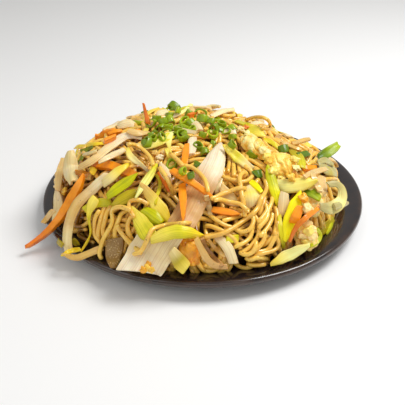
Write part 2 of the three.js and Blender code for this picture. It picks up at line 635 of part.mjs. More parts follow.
// Each topping: its name, its shape and its route on the layout sheet. A route's third number is the height
// above the pile. The order is the order of laying, lowest first.
const STRIPS = [
  // left flank
  ['left_wide_strip', onion(5.4, { across: 2 }), [[57, 191], [57, 206], [54, 222]]],
  ['left_upright_strip', onion(4.4, { steepest: 0.8 }), [[63, 157], [59, 174], [57, 190]]],
  ['left_folded_leek', leek(5, { cup: 0.3, steepest: 0.8 }),
    [[66, 178], [66, 163], [71, 151, 1], [76, 160], [74, 184]]],
  ['left_carrot_band', carrot(4.2), [[92, 164], [112, 165], [122, 169], [135, 175]]],
  ['long_pale_strip', leek(5), [[142, 137], [125, 135], [110, 145], [95, 157], [78, 167]]],
  ['second_pale_strip', onion(4), [[125, 148], [110, 156], [98, 162]]],
  ['long_front_carrot', carrot(4.4, { thickness: 3.4, taper: [1, 0.4], taperLength: 0.8 }),
    [[83, 176], [74, 192], [64, 208], [56, 221], [43, 234], [25, 247]]],
  ['big_curved_stalk', onion(5.4, { thickness: 2.4, across: 2, cup: 0.7 }),
    [[108, 173], [92, 188], [76, 204], [68, 222], [66, 240], [68, 253]]],
  ['base_leaf', green(4), [[83, 210], [95, 203], [112, 203]]],
  ['yellow_petal', leaf(5, { thickness: 1.6 }), [[131, 162], [118, 171], [102, 184]]],
  ['left_green_leaf', green(5.4), [[138, 172], [124, 183], [106, 197]]],
  ['left_olive_leaf', green(6.4), [[137, 190], [125, 197], [111, 205]]],
  ['hanging_ribbon', leaf(4.4, { taper: [1, 0.4], taperLength: 0.7, across: 1 }),
    [[100, 197], [92, 203], [88, 213], [88, 224], [91, 233], [88, 243], [80, 252]]],
  ['bottom_left_strip', onion(3), [[61, 254], [75, 258], [90, 253], [103, 247]]],
  // crown, left half
  ['upright_carrot', carrot(2.4, { thickness: 2.2, taper: [1, 0.7] }),
    [[148, 124], [147, 118, 2], [145, 111, 6], [144, 105, 10]]],
  // middle
  ['yellow_ribbon', leaf(4.6), [[126, 143], [143, 146], [158, 143], [172, 135]]],
  ['twist_strip', leaf(3.4, { taper: [1, 0.5], taperLength: 0.8, across: 1 }),
    [[127, 147], [131, 157], [141, 164], [150, 172]]],
  ['centre_carrot', carrot(2.8, { thickness: 2.4 }), [[158, 171], [164, 180], [169, 192]]],
  ['long_leaf', green(3.9), [[157, 163], [150, 177], [143, 189], [136, 200]]],
  ['broad_yellow_strip', leaf(5.6, { thickness: 1.4 }), [[141, 183], [150, 195], [160, 208], [170, 222]]],
  ['speckled_petal', leek(4.4), [[160, 162], [166, 174], [171, 184]]],
  ['lime_petal', green(6.4), [[144, 214], [152, 217], [161, 221]]],
  ['pale_leek', leaf(6.8), [[222, 192], [229, 198], [237, 204]]],
  ['white_leek', leek(9.4, { thickness: 2.2, cup: 1.3, across: 4, taper: [0.12, 0.7], taperLength: 0.25 }),
    [[222, 138], [213, 164], [200, 190], [188, 213], [179, 227]]],
  ['upper_carrot', carrot(3.3), [[187, 143], [185, 156], [184, 168]]],
  ['middle_carrot', carrot(3.9), [[182, 183], [183, 203], [183, 222]]],
  ['crossing_carrot', carrot(3.9, { thickness: 2.8 }), [[171, 169], [190, 180], [205, 191], [216, 199]]],
  ['yellow_diagonal', leaf(5, { thickness: 1.4 }), [[223, 143], [236, 157], [252, 170]]],
  ['leek_bowl', leek(9.6, { cup: -1.6, across: 4, thickness: 1.5 }), [[248, 186], [251, 196], [252, 206]]],
  ['middle_short_carrot', carrot(3.8), [[212, 210], [226, 211], [240, 213]]],
  // front
  ['brown_strip', mushroom(6.6), [[116, 240], [114, 255], [113, 268]]],
  ['front_white_leek', leek(16, { across: 4, cup: 1.8, thickness: 2.2, taper: [0.8, 0.9] }),
    [[169, 236], [155, 254], [141, 271]]],
  ['front_yellow_strip', leaf(5.6), [[172, 251], [180, 261], [188, 269]]],
  ['front_leaf_left', green(5), [[131, 206], [139, 221], [148, 238]]],
  ['front_leaf_right', green(5), [[152, 238], [175, 230], [204, 232]]],
  ['front_pale_strip', leek(4.4), [[217, 236], [228, 248], [234, 264]]],
  ['front_flat_strip', onion(3.4), [[196, 238], [205, 256], [215, 266], [228, 267]]],
  // right flank
  ['back_cabbage', green(6.4), [[242, 128], [253, 130], [265, 132]]],
  ['right_green_leaf', green(4.4, { steepest: 0.8 }), [[339, 144], [330, 151], [318, 158]]],
  ['right_back_leaf', green(5), [[291, 149], [299, 157], [303, 168]]],
  ['right_cabbage', leaf(6.6, { cup: 0.8 }), [[319, 165], [329, 168], [338, 172]]],
  ['right_tan_strip', onion(6.4, { across: 2, cup: 0.6, steepest: 0.9 }),
    [[321, 175], [322, 185], [322, 196]]],
  ['right_low_leaf', green(4.6), [[304, 188], [312, 193], [320, 198]]],
  ['yellow_lens', leaf(7.4, { cup: 1.2, thickness: 1.6, taper: [0.4, 0.3], taperLength: 0.4 }),
    [[276, 184], [296, 184], [316, 179]]],
  ['lime_strip', green(3.9), [[267, 167], [272, 183], [278, 203]]],
  ['white_baton', leek(4.8, { thickness: 2.4, across: 1 }), [[285, 192], [284, 205], [283, 218]]],
  ['big_yellow_leaf', leaf(6.6, { cup: 0.8 }), [[301, 193], [293, 214], [286, 240]]],
  ['right_carrot_block', carrot(5.8), [[301, 207], [299, 215], [298, 223]]],
  ['curved_carrot', carrot(2.8, { thickness: 2.4 }), [[322, 207], [307, 217], [295, 229], [290, 243]]],
  ['leek_curl', leek(3.6, { across: 1, thickness: 1.3, facing: 0.8 }),
    [[323, 209], [333, 206], [341, 198, 1], [341, 187, 3], [334, 182, 4], [326, 186, 3], [324, 194, 1]]],
  ['bottom_right_leek', leaf(5), [[270, 264], [290, 255], [308, 247]]],
];

// Small toppings, sunk a little in the core and joined to it.
const SMALL = [
  [onion(4.4), [[73, 171], [82, 174], [91, 177]]],
  [leaf(3), [[74, 147], [90, 144], [104, 143]]],
  [green(2.4), [[86, 149], [82, 157], [77, 165]]],
  [leek(5, { thickness: 3 }), [[117, 125], [126, 122], [136, 122]]],
  [leek(5.2, { thickness: 3 }), [[156, 114], [162, 111], [168, 110]]],
  [onion(2.8, { thickness: 2.4 }), [[222, 172], [219, 183], [216, 194]]],
  [carrot(2.8), [[108, 133], [115, 131], [122, 130]]],
  [carrot(2.4), [[127, 132], [134, 131], [141, 130]]],
  [leaf(3.2, { across: 1 }), [[148, 125], [145, 131], [143, 137]]],
  [leaf(2.8), [[260, 138], [272, 142], [281, 149]]],
  [carrot(2.8), [[302, 168], [310, 167], [318, 167]]],
  [green(3.6), [[316, 230], [318, 235], [319, 240]]],
];

const BACK_KINDS = [carrot(3), onion(4), leaf(4.4), leek(4.6), green(4.6)];

const NOODLES = [
  // a bundle that hangs down the front, right of the middle
  [[263, 193], [258, 206], [245, 220], [230, 230], [210, 237]],
  [[238, 177], [241, 198], [243, 214]],
  [[262, 200], [273, 218], [271, 238], [256, 256]],
  [[256, 208], [266, 224], [262, 240], [248, 255]],
  [[250, 214], [258, 228], [253, 242], [240, 256]],
  [[244, 220], [250, 232], [245, 244], [232, 252]],
  [[278, 228], [279, 244], [270, 258]],
  // noodles that hang down the front, left of the middle
  [[107, 207], [99, 224], [95, 242]],
  [[113, 208], [105, 226], [104, 250]],
  [[124, 208], [117, 226], [112, 250]],
  [[131, 214], [123, 230], [124, 244], [122, 258]],
  [[118, 225], [130, 240], [142, 256]],
  [[82, 214], [80, 226], [84, 244]],
  [[165, 228], [153, 232], [143, 246], [134, 256]],
  [[196, 226], [214, 226], [232, 222]],
  [[176, 238], [194, 240], [210, 246], [220, 260]],
  // on top
  [[186, 170], [198, 172], [205, 181], [208, 191]],
  [[222, 178], [238, 183], [254, 178], [252, 168]],
  [[131, 212], [130, 205], [139, 201], [150, 205]],
  [[211, 113], [224, 114], [238, 118], [250, 121]],
  [[176, 152], [190, 156], [203, 158], [214, 152]],
  [[292, 190], [302, 184], [314, 186]],
  [[250, 118], [262, 117], [270, 123], [262, 130]],
];

const RINGS = [
  [139, 122], [150, 121], [161, 125], [171, 121], [172, 106], [177, 111], [185, 120], [184, 127],
  [182, 135], [149, 141], [161, 136], [200, 109], [203, 120], [215, 119], [215, 127], [231, 125],
  [213, 134], [233, 137], [231, 144], [203, 149], [196, 165], [172, 164], [191, 150], [222, 124],
];

const LUMPS = [
  ['egg_upper', [255, 147], { width: 9, length: 19, height: 7, turn: 42, bumps: 0.35, seed: 1.5 }],
  ['egg_round', [282, 166], { width: 15, length: 14, height: 9, turn: 0, bumps: 0.3, seed: 4.2 }],
  ['egg_right', [311, 198], { width: 9, length: 13, height: 6, turn: 0, bumps: 0.3, seed: 7.9 }],
  ['egg_low', [306, 235], { width: 12, length: 14, height: 8, turn: 20, bumps: 0.4, seed: 2.6 }],
  ['egg_front', [190, 250], { width: 10, length: 14, height: 7, turn: 10, bumps: 0.3, seed: 5.3 }],
];

// ---------------------------------------------------------------- build

const meshes = [];

function addNode(name, geometry, colour, roughness) {
  const material = new THREE.MeshStandardMaterial({ color: COLOURS[colour], roughness, metalness: 0 });
  const mesh = new THREE.Mesh(geometry, material);
  mesh.name = name;
  meshes.push(mesh);
}

const plate = plateGeometry();
const core = coreGeometry();
const bare = new Pile();
bare.add(plate);
bare.add(core);
const pile = new Pile(bare);
const coreSolid = toSolid(core);
const laid = [toSolid(plate), coreSolid];

/** Adds a piece to the pile, for those that are laid after it. */
function keep(geometry) {
  pile.add(geometry);
  laid.push(toSolid(geometry));
}

const small = SMALL.map(([shape, route]) => {
  keep(stripThrough(carry(route, shape, bare, -SUNK), shape));
  return laid.at(-1);
});
for (const [name, place, size] of LUMPS) {
  const lump = layLump(place, size, pile, laid);
  keep(lump);
  addNode(name, lump, 'egg', 0.45);
}
for (const [name, shape, route] of STRIPS) {
  const strip = layStrip(route, shape, pile, laid);
  keep(strip);
  addNode(name, strip, shape.colour, 0.5);
}
const neighbours = laid.filter((solid) => solid !== coreSolid && !small.includes(solid));

addNode('plate', plate, 'plate', 0.18);
addNode('noodle_heap', heapGeometry([coreSolid, ...small], neighbours), 'noodles', 0.4);

const dish = new THREE.Group();
dish.add(...meshes);
export default dish;
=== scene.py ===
"""Dresses a plate of yakisoba: the noodle heap, its toppings, the cut spring onion and the glazed plate.

Lengths are millimetres until a mesh is made, and metres from there on. Routes of pieces are given on the
layout sheet, a square perspective drawing of the dish from the diner's seat, in its own units.
"""

from __future__ import annotations

import logging
import math
from collections.abc import Iterator, Sequence
from contextlib import contextmanager
from dataclasses import dataclass, field, replace
from enum import Enum

import bpy
import numpy as np
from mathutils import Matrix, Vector, noise
from mathutils.bvhtree import BVHTree

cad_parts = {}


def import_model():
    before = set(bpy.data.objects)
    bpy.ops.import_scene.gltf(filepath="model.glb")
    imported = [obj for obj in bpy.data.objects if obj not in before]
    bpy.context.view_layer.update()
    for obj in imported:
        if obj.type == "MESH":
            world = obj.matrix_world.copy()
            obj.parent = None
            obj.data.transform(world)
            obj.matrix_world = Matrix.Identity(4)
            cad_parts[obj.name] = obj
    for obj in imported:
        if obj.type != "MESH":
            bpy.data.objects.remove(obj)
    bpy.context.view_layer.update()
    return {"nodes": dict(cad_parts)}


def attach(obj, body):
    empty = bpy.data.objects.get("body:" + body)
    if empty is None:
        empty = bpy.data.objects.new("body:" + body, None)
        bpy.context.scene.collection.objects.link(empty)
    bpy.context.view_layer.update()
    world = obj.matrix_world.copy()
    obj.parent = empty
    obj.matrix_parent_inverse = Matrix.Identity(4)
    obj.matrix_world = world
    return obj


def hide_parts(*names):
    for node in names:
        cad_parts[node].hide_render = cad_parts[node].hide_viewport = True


MM = 0.001
BODY = "root"
log = logging.getLogger("yakisoba")

Route = Sequence[Sequence[float]]
Colour = tuple[float, float, float]
Range = tuple[float, float]
Socket = bpy.types.NodeSocket


# ---------------------------------------------------------------- colours


def linear(red: int, green: int, blue: int) -> Colour:
    """Turns a display colour, 0 to 255, into a linear one."""
    share = [channel / 255 for channel in (red, green, blue)]
    return tuple(c / 12.92 if c <= 0.04045 else ((c + 0.055) / 1.055) ** 2.4 for c in share)


class Hue(Enum):
    """The food's own colours."""

    IVORY = linear(250, 238, 214)
    CREAM = linear(247, 230, 186)
    SHELL = linear(244, 226, 184)
    TAN = linear(232, 192, 104)
    HONEY = linear(238, 206, 140)
    STRAW = linear(238, 219, 160)
    BUTTER = linear(246, 224, 96)
    YELLOW = linear(252, 218, 44)
    LEMON = linear(255, 248, 0)
    CITRON = linear(226, 216, 40)
    LIME = linear(206, 206, 2)
    OLIVE = linear(190, 170, 22)
    MOSS = linear(122, 128, 22)
    CARROT = linear(255, 162, 24)
    RUST = linear(236, 128, 26)
    PALE = linear(255, 250, 166)
    MIST = linear(188, 180, 124)
    EGG = linear(255, 238, 164)
    CUSTARD = linear(255, 226, 112)
    PEACH = linear(255, 222, 150)
    YOLK = linear(252, 202, 72)
    GOLD = linear(248, 176, 36)
    BUFF = linear(214, 172, 112)
    BROWN = linear(150, 112, 32)
    NOODLE = linear(255, 213, 98)
    SOY = linear(220, 150, 42)
    GRASS = linear(178, 198, 18)
    FERN = linear(92, 124, 4)


# ---------------------------------------------------------------- the layout sheet and the seat


@dataclass(frozen=True)
class Seat:
    """The diner's seat, from which the layout sheet is drawn."""

    distance: float = 375.0
    elevation: float = 31.0
    focal: float = 675.0
    sheet: float = 405.0
    reach: float = 130.0
    step: float = 0.5

    def axes(self) -> tuple[np.ndarray, np.ndarray, np.ndarray]:
        """Its right, upward and forward directions."""
        up, level = math.sin(math.radians(self.elevation)), math.cos(math.radians(self.elevation))
        return np.array([1.0, 0.0, 0.0]), np.array([0.0, up, level]), np.array([0.0, level, -up])

    def eye(self) -> np.ndarray:
        """Where the diner's eye is."""
        return -self.distance * self.axes()[2]

    def sights(self, places: np.ndarray) -> np.ndarray:
        """Directions of the lines of sight through places of the sheet.

        Args:
            places: rows of x and y on the sheet.

        Returns:
            One unit vector for each row.
        """
        right, upward, forward = self.axes()
        across = (places[:, 0] - self.sheet / 2) / self.focal
        over = (self.sheet / 2 - places[:, 1]) / self.focal
        lines = forward + across[:, None] * right + over[:, None] * upward
        return lines / np.linalg.norm(lines, axis=1)[:, None]


SEAT = Seat()
UNITS_PER_MM = SEAT.focal / SEAT.distance


@dataclass(frozen=True)
class Mound:
    """The smooth form of the heap."""

    left: float = 80.0
    right: float = 76.0
    front: float = 77.0
    back: float = 67.0
    skirt: float = 9.9
    height: float = 34.5
    shift: float = -9.0
    least_rise: float = 4.0

    def outward(self, points: np.ndarray) -> np.ndarray:
        """Directions that point out of the mound.

        Args:
            points: rows of points near it.

        Returns:
            One unit vector for each row.
        """
        x, y, z = points.T
        wide = np.where(x < 0, self.left, self.right)
        deep = np.where(y < 0, self.front, self.back)
        rise = np.maximum(z - self.skirt, self.least_rise)
        rows = np.stack([x / wide**2, y / deep**2, rise / self.height**2], axis=1)
        return rows / np.linalg.norm(rows, axis=1)[:, None]


MOUND = Mound()


@dataclass(frozen=True)
class PlateForm:
    """The plate's section."""

    foot: float = 46.0
    foot_edge: float = 0.8
    foot_depth: float = 0.7
    foot_ring: float = 5.0
    foot_slope: float = 0.8
    well: float = 58.0
    rim: float = 86.0
    well_top: float = 4.0
    rim_top: float = 10.0
    thickness: float = 3.2
    lip: float = 1.4
    around: int = 144

    def top(self, radius: float) -> float:
        """Height of the upper face at a distance from the middle."""
        share = min(max((radius - self.well) / (self.rim - self.lip - self.well), 0.0), 1.0)
        return self.well_top + (self.rim_top - self.well_top) * share * share * (3 - 2 * share)


PLATE = PlateForm()


# ---------------------------------------------------------------- curves


def unit(rows: np.ndarray) -> np.ndarray:
    """Rows of vectors at length one."""
    return rows / np.maximum(np.linalg.norm(rows, axis=1), 1e-9)[:, None]


def level_way(angle: float) -> np.ndarray:
    """The level direction at an angle."""
    return np.array([math.cos(angle), math.sin(angle)])


def beside_of(places: np.ndarray) -> np.ndarray:
    """Directions to the side of a line over the map."""
    return unit(np.gradient(places, axis=0))[:, ::-1] * [-1, 1]


def smoothstep(share: np.ndarray) -> np.ndarray:
    """Eases shares from 0 to 1."""
    share = np.clip(share, 0.0, 1.0)
    return share * share * (3 - 2 * share)


def evened(rows: np.ndarray, passes: int) -> np.ndarray:
    """Smooths values along their order and keeps both ends.

    Args:
        rows: the values.
        passes: how often each takes half of its neighbours' mean.

    Returns:
        The smoothed values.
    """
    rows = rows.copy()
    for _ in range(passes):
        rows[1:-1] = 0.5 * rows[1:-1] + 0.25 * (rows[:-2] + rows[2:])
    return rows


def walk(points: np.ndarray) -> np.ndarray:
    """Distances walked along a line of points."""
    return np.concatenate([[0], np.cumsum(np.linalg.norm(np.diff(points, axis=0), axis=1))])


def spline(route: Route, spacing: float, samples: int = 40, fewest: int = 5) -> np.ndarray:
    """A smooth curve through a route's points, sampled at even steps.

    Args:
        route: rows of x, y and, where it is given, the height above the pile.
        spacing: length of a step, in the route's units.
        samples: how finely each stretch is worked out.
        fewest: the least number of rows.

    Returns:
        Rows of x, y and height.
    """
    knots = np.array([[*row, 0.0][:3] for row in route], float)
    ends = np.vstack([2 * knots[0] - knots[1], knots, 2 * knots[-1] - knots[-2]])
    dense = []
    for p0, p1, p2, p3 in zip(ends, ends[1:], ends[2:], ends[3:]):
        d0, d1, d2 = (max(np.linalg.norm(b - a), 1e-6) ** 0.5 for a, b in ((p0, p1), (p1, p2), (p2, p3)))
        t1 = ((p1 - p0) / d0 - (p2 - p0) / (d0 + d1) + (p2 - p1) / d1) * d1
        t2 = ((p2 - p1) / d1 - (p3 - p1) / (d1 + d2) + (p3 - p2) / d2) * d1
        t = np.linspace(0, 1, samples, endpoint=False)[:, None]
        dense.append(p1 + t1 * t + (3 * (p2 - p1) - 2 * t1 - t2) * t**2 + (2 * (p1 - p2) + t1 + t2) * t**3)
    line = np.vstack([*dense, knots[-1:]])
    walked = walk(line)
    stations = np.linspace(0, walked[-1], max(fewest, round(walked[-1] / spacing) + 1))
    return np.stack([np.interp(stations, walked, line[:, k]) for k in range(3)], axis=1)


def limit_slope(depths: np.ndarray, steepest: float) -> np.ndarray:
    """Brings stations that fell far behind their neighbours forward again.

    Args:
        depths: a depth for each station.
        steepest: the most that one may lie behind the next.

    Returns:
        The new depths.
    """
    depths = depths.copy()
    for order in (range(1, len(depths)), range(len(depths) - 2, -1, -1)):
        for i in order:
            before = i - order.step
            depths[i] = min(depths[i], depths[before] + steepest)
    return depths


# ---------------------------------------------------------------- the pile


class Pile:
    """An outer surface as radial distances from a pivot under the plate, on a square map of directions."""

    PIVOT = np.array([0.0, 0.0, -30.0])
    SCALE = 80.0
    HALF = 124.0
    CELL = 0.8
    WIDEST = 1.55
    PAST_RIM = 6.0
    LOWEST = 1.0

    def __init__(self, reach: np.ndarray) -> None:
        """Starts a pile from its radial distances."""
        self.reach = reach

    @classmethod
    def grid(cls) -> np.ndarray:
        """Map places of all cells, row by row."""
        ticks = np.arange(-cls.HALF, cls.HALF + cls.CELL / 2, cls.CELL)
        return np.stack(np.meshgrid(ticks, ticks), axis=-1)

    @classmethod
    def directions(cls, places: np.ndarray) -> np.ndarray:
        """Directions from the pivot.

        Args:
            places: places of the map.

        Returns:
            One unit vector for each place.
        """
        away = np.maximum(np.linalg.norm(places, axis=-1), 1e-9)
        angle = np.minimum(away / cls.SCALE, cls.WIDEST)
        flat = (np.sin(angle) / away)[..., None]
        return np.concatenate([places * flat, np.cos(angle)[..., None]], axis=-1)

    @classmethod
    def places(cls, points: np.ndarray) -> np.ndarray:
        """Places on the map.

        Args:
            points: points in space.

        Returns:
            One place for each point.
        """
        offset = points - cls.PIVOT
        flat = np.maximum(np.linalg.norm(offset[..., :2], axis=-1), 1e-9)
        away = cls.SCALE * np.arctan2(flat, offset[..., 2])
        return offset[..., :2] * (away / flat)[..., None]

    @classmethod
    def points(cls, places: np.ndarray, reach: np.ndarray) -> np.ndarray:
        """Points in space from places of the map and radial distances."""
        return cls.PIVOT + cls.directions(places) * reach[..., None]

    def at(self, places: np.ndarray) -> np.ndarray:
        """The surface between its cells.

        Args:
            places: places of the map.

        Returns:
            A radial distance for each place.
        """
        spot = np.clip((places + self.HALF) / self.CELL, 0, len(self.reach) - 1.001)
        whole = spot.astype(int)
        u, v = np.moveaxis(spot - whole, -1, 0)
        i, j = np.moveaxis(whole, -1, 0)
        low = self.reach[j, i] * (1 - u) + self.reach[j, i + 1] * u
        high = self.reach[j + 1, i] * (1 - u) + self.reach[j + 1, i + 1] * u
        return low * (1 - v) + high * v

    def mark(self, points: np.ndarray) -> None:
        """Raises the surface.

        Args:
            points: points in space that it has to reach.
        """
        spot = np.rint((self.places(points) + self.HALF) / self.CELL).astype(int)
        spot = np.clip(spot, 0, len(self.reach) - 1)
        reach = np.linalg.norm(points - self.PIVOT, axis=-1)
        np.maximum.at(self.reach, (spot[..., 1], spot[..., 0]), reach)

    def seen(self, stations: np.ndarray, steepest: float) -> np.ndarray:
        """Where lines of sight come to lie a height above the surface, or pass it most closely.

        Args:
            stations: rows of x, y on the sheet and the height above the surface.
            steepest: how much farther away a station may lie than the one before it.

        Returns:
            Rows of points in space.
        """
        sights = SEAT.sights(stations[:, :2])
        depths = np.arange(SEAT.distance - SEAT.reach, SEAT.distance + SEAT.reach, SEAT.step)
        probes = SEAT.eye() + sights[:, None, :] * depths[None, :, None]
        height = np.linalg.norm(probes - self.PIVOT, axis=-1) - self.at(self.places(probes))
        outside = np.hypot(probes[..., 0], probes[..., 1]) > PLATE.rim + self.PAST_RIM
        height[outside | (probes[..., 2] < self.LOWEST)] = np.inf
        met = height <= stations[:, 2:3]
        nearest = np.argmin(height - stations[:, 2:3], axis=1)
        first = np.where(met.any(axis=1), np.argmax(met, axis=1), nearest)
        found = limit_slope(depths[first], steepest)
        return SEAT.eye() + sights * found[:, None]

    def spot(self, x: float, y: float, height: float) -> np.ndarray:
        """Where one line of sight comes to lie a height above the surface."""
        return self.seen(np.array([[x, y, height]]), 1.0)[0]


class Solids:
    """The frame's solids as surfaces that rays can be cast on."""

    FAR = 220.0

    def __init__(self, nodes: dict[str, bpy.types.Object], names: Sequence[str]) -> None:
        """Gathers triangles.

        Args:
            nodes: solids by name.
            names: those that are wanted.
        """
        corners: list[np.ndarray] = []
        faces: list[np.ndarray] = []
        start = 0
        for name in names:
            mesh = nodes[name].data
            mesh.calc_loop_triangles()
            triangles = np.empty(len(mesh.loop_triangles) * 3, np.int32)
            mesh.loop_triangles.foreach_get("vertices", triangles)
            corners.append(corners_of(nodes[name]))
            faces.append(triangles.reshape(-1, 3) + start)
            start += len(mesh.vertices)
        self.tree = BVHTree.FromPolygons(np.vstack(corners).tolist(), np.vstack(faces).tolist())

    def cast(self, fallback: float, inward: bool = True) -> np.ndarray:
        """Casts a ray for each cell of the map.

        Args:
            fallback: the distance of a ray that meets nothing.
            inward: whether rays come from far outside to the outermost faces, or go out from the pivot.

        Returns:
            Radial distances.
        """
        directions = Pile.directions(Pile.grid())
        reach = np.full(directions.shape[:2], fallback)
        pivot = Vector(Pile.PIVOT)
        for j, row in enumerate(directions):
            for i, direction in enumerate(row):
                way = Vector(direction)
                start, heading = (pivot + way * self.FAR, -way) if inward else (pivot, way)
                hit = self.tree.ray_cast(start, heading)
                if hit[0] is not None:
                    reach[j, i] = (hit[0] - pivot).length
        return reach

    def seen(self, stations: np.ndarray) -> np.ndarray:
        """Points where lines of sight meet the solids; a miss takes the depth of its neighbours.

        Args:
            stations: rows of x, y on the sheet and anything more.

        Returns:
            Rows of points in space.
        """
        eye = Vector(SEAT.eye())
        sights = SEAT.sights(stations[:, :2])
        hits = [self.tree.ray_cast(eye, Vector(sight))[3] for sight in sights]
        order = np.arange(len(hits))
        met = np.array([hit is not None for hit in hits])
        if not met.any():
            raise ValueError(f"no line of sight meets the solid near {stations[0]}")
        depths = np.interp(order, order[met], np.array([hit for hit in hits if hit is not None]))
        return SEAT.eye() + sights * depths[:, None]


def opened(reach: np.ndarray, radius: float) -> np.ndarray:
    """Strips narrow ridges off a map.

    Args:
        reach: the map of radial distances.
        radius: ridges narrower than twice this are taken off.

    Returns:
        The new map.
    """
    cells = int(radius / Pile.CELL)
    span = range(-cells, cells + 1)
    shifts = [(a, b) for a in span for b in span if a * a + b * b <= cells**2]
    low = np.min([np.roll(reach, shift, (0, 1)) for shift in shifts], axis=0)
    return np.max([np.roll(low, shift, (0, 1)) for shift in shifts], axis=0)


# ---------------------------------------------------------------- meshes


def add_piece(name: str, mesh: bpy.types.Mesh) -> bpy.types.Object:
    """Puts a mesh into the scene.

    Args:
        name: the object's name.
        mesh: its mesh.

    Returns:
        The object.
    """
    piece = bpy.data.objects.new(name, mesh)
    bpy.context.scene.collection.objects.link(piece)
    return piece


def write_hues(mesh: bpy.types.Mesh, rows: np.ndarray) -> None:
    """Stores colours that the finishes read.

    Args:
        mesh: takes them.
        rows: a linear colour for each vertex.
    """
    hue = mesh.attributes.new("hue", "FLOAT_COLOR", "POINT")
    rows = np.hstack([rows, np.ones((len(rows), 1))])
    hue.data.foreach_set("color", rows.astype(np.float32).ravel())


@dataclass
class Fabric:
    """Vertices and faces in the making, with the grain and the hue that the finishes read."""

    vertices: list[np.ndarray] = field(default_factory=list)
    faces: list[np.ndarray] = field(default_factory=list)
    grains: list[np.ndarray] = field(default_factory=list)
    hues: list[np.ndarray] = field(default_factory=list)
    count: int = 0

    def add(self, vertices: np.ndarray, faces: np.ndarray, grain: np.ndarray, hue: np.ndarray) -> None:
        """Adds one shape.

        Args:
            vertices: rows of points in millimetres.
            faces: rows of four corners, the last one repeated in a triangle.
            grain: rows of the distance along and across the piece and its own number.
            hue: rows of linear colours.
        """
        self.vertices.append(vertices)
        self.faces.append(faces + self.count)
        self.grains.append(grain)
        self.hues.append(hue)
        self.count += len(vertices)

    def triangles(self) -> int:
        """How many triangles the shapes have so far."""
        return sum(2 * len(faces) for faces in self.faces)

    def build(self, name: str) -> bpy.types.Object:
        """Makes the mesh object, in metres.

        Args:
            name: its name.

        Returns:
            The object.
        """
        rows = [list(dict.fromkeys(face)) for face in np.vstack(self.faces).tolist()]
        mesh = bpy.data.meshes.new(name)
        mesh.from_pydata((np.vstack(self.vertices) * MM).tolist(), [], rows)
        grain = mesh.attributes.new("grain", "FLOAT_VECTOR", "POINT")
        grain.data.foreach_set("vector", np.vstack(self.grains).astype(np.float32).ravel())
        write_hues(mesh, np.vstack(self.hues))
        mesh.polygons.foreach_set("use_smooth", [True] * len(mesh.polygons))
        mesh.update()
        return add_piece(name, mesh)


def select_only(piece: bpy.types.Object) -> None:
    """Makes one object the selected and the active one.

    Args:
        piece: the object.
    """
    bpy.ops.object.select_all(action="DESELECT")
    piece.select_set(True)
    bpy.context.view_layer.objects.active = piece


@contextmanager
def editing(piece: bpy.types.Object) -> Iterator[None]:
    """Opens a piece in edit mode with all of it selected.

    Args:
        piece: the object.

    Yields:
        Nothing; edit mode ends afterwards.
    """
    select_only(piece)
    bpy.ops.object.mode_set(mode="EDIT")
    bpy.ops.mesh.select_all(action="SELECT")
    yield
    bpy.ops.object.mode_set(mode="OBJECT")


def finish_with(piece: bpy.types.Object, kind: str, **settings: object) -> None:
    """Adds a modifier and applies it.

    Args:
        piece: the object.
        kind: the modifier's type.
        **settings: its properties.
    """
    select_only(piece)
    modifier = piece.modifiers.new(kind.lower(), kind)
    for key, value in settings.items():
        setattr(modifier, key, value)
    bpy.ops.object.modifier_apply(modifier=modifier.name)


def round_edges(piece: bpy.types.Object, width: float, sharp: float = 50.0) -> None:
    """Bevels the edges that turn by more than some degrees."""
    limit = math.radians(sharp)
    finish_with(piece, "BEVEL", width=width * MM, segments=2, limit_method="ANGLE", angle_limit=limit)


def face_outwards(piece: bpy.types.Object, weld: float = 0.001) -> None:
    """Merges doubles and turns all faces outwards.

    Args:
        piece: the mesh to change.
        weld: how near doubles are, in millimetres.
    """
    with editing(piece):
        bpy.ops.mesh.remove_doubles(threshold=weld * MM)
        bpy.ops.mesh.normals_make_consistent(inside=False)


def rows_of(items: bpy.types.bpy_prop_collection, key: str) -> np.ndarray:
    """Reads a vector of each item.

    Args:
        items: vertices or normals.
        key: the vector's name.

    Returns:
        One row for each item.
    """
    rows = np.empty(len(items) * 3, np.float32)
    items.foreach_get(key, rows)
    return rows.reshape(-1, 3)


def corners_of(piece: bpy.types.Object) -> np.ndarray:
    """Vertices of a piece in millimetres."""
    return rows_of(piece.data.vertices, "co") / MM


def normals_of(piece: bpy.types.Object) -> np.ndarray:
    """Vertex normals of a piece."""
    return rows_of(piece.data.vertex_normals, "vector")


def quads_of(piece: bpy.types.Object) -> np.ndarray:
    """Faces of up to four corners, the last one repeated in a triangle."""
    return np.array([[*p.vertices, p.vertices[-1]][:4] for p in piece.data.polygons if len(p.vertices) <= 4])


def move_corners(piece: bpy.types.Object, points: np.ndarray) -> None:
    """Sets the vertices of a piece from millimetres."""
    piece.data.vertices.foreach_set("co", (points * MM).astype(np.float32).ravel())
    piece.data.update()


def roughen(piece: bpy.types.Object, amount: float, size: float, seed: float) -> None:
    """Moves vertices in and out by soft noise.

    Args:
        piece: the mesh to change.
        amount: how far, in millimetres.
        size: how large the bumps are, in millimetres.
        seed: chooses where they are.
    """
    points = corners_of(piece)
    shift = np.array([noise.noise(Vector(p / size) + Vector((seed, 0, 0))) for p in points])
    move_corners(piece, points + normals_of(piece) * (amount * shift)[:, None])


# ---------------------------------------------------------------- finishes


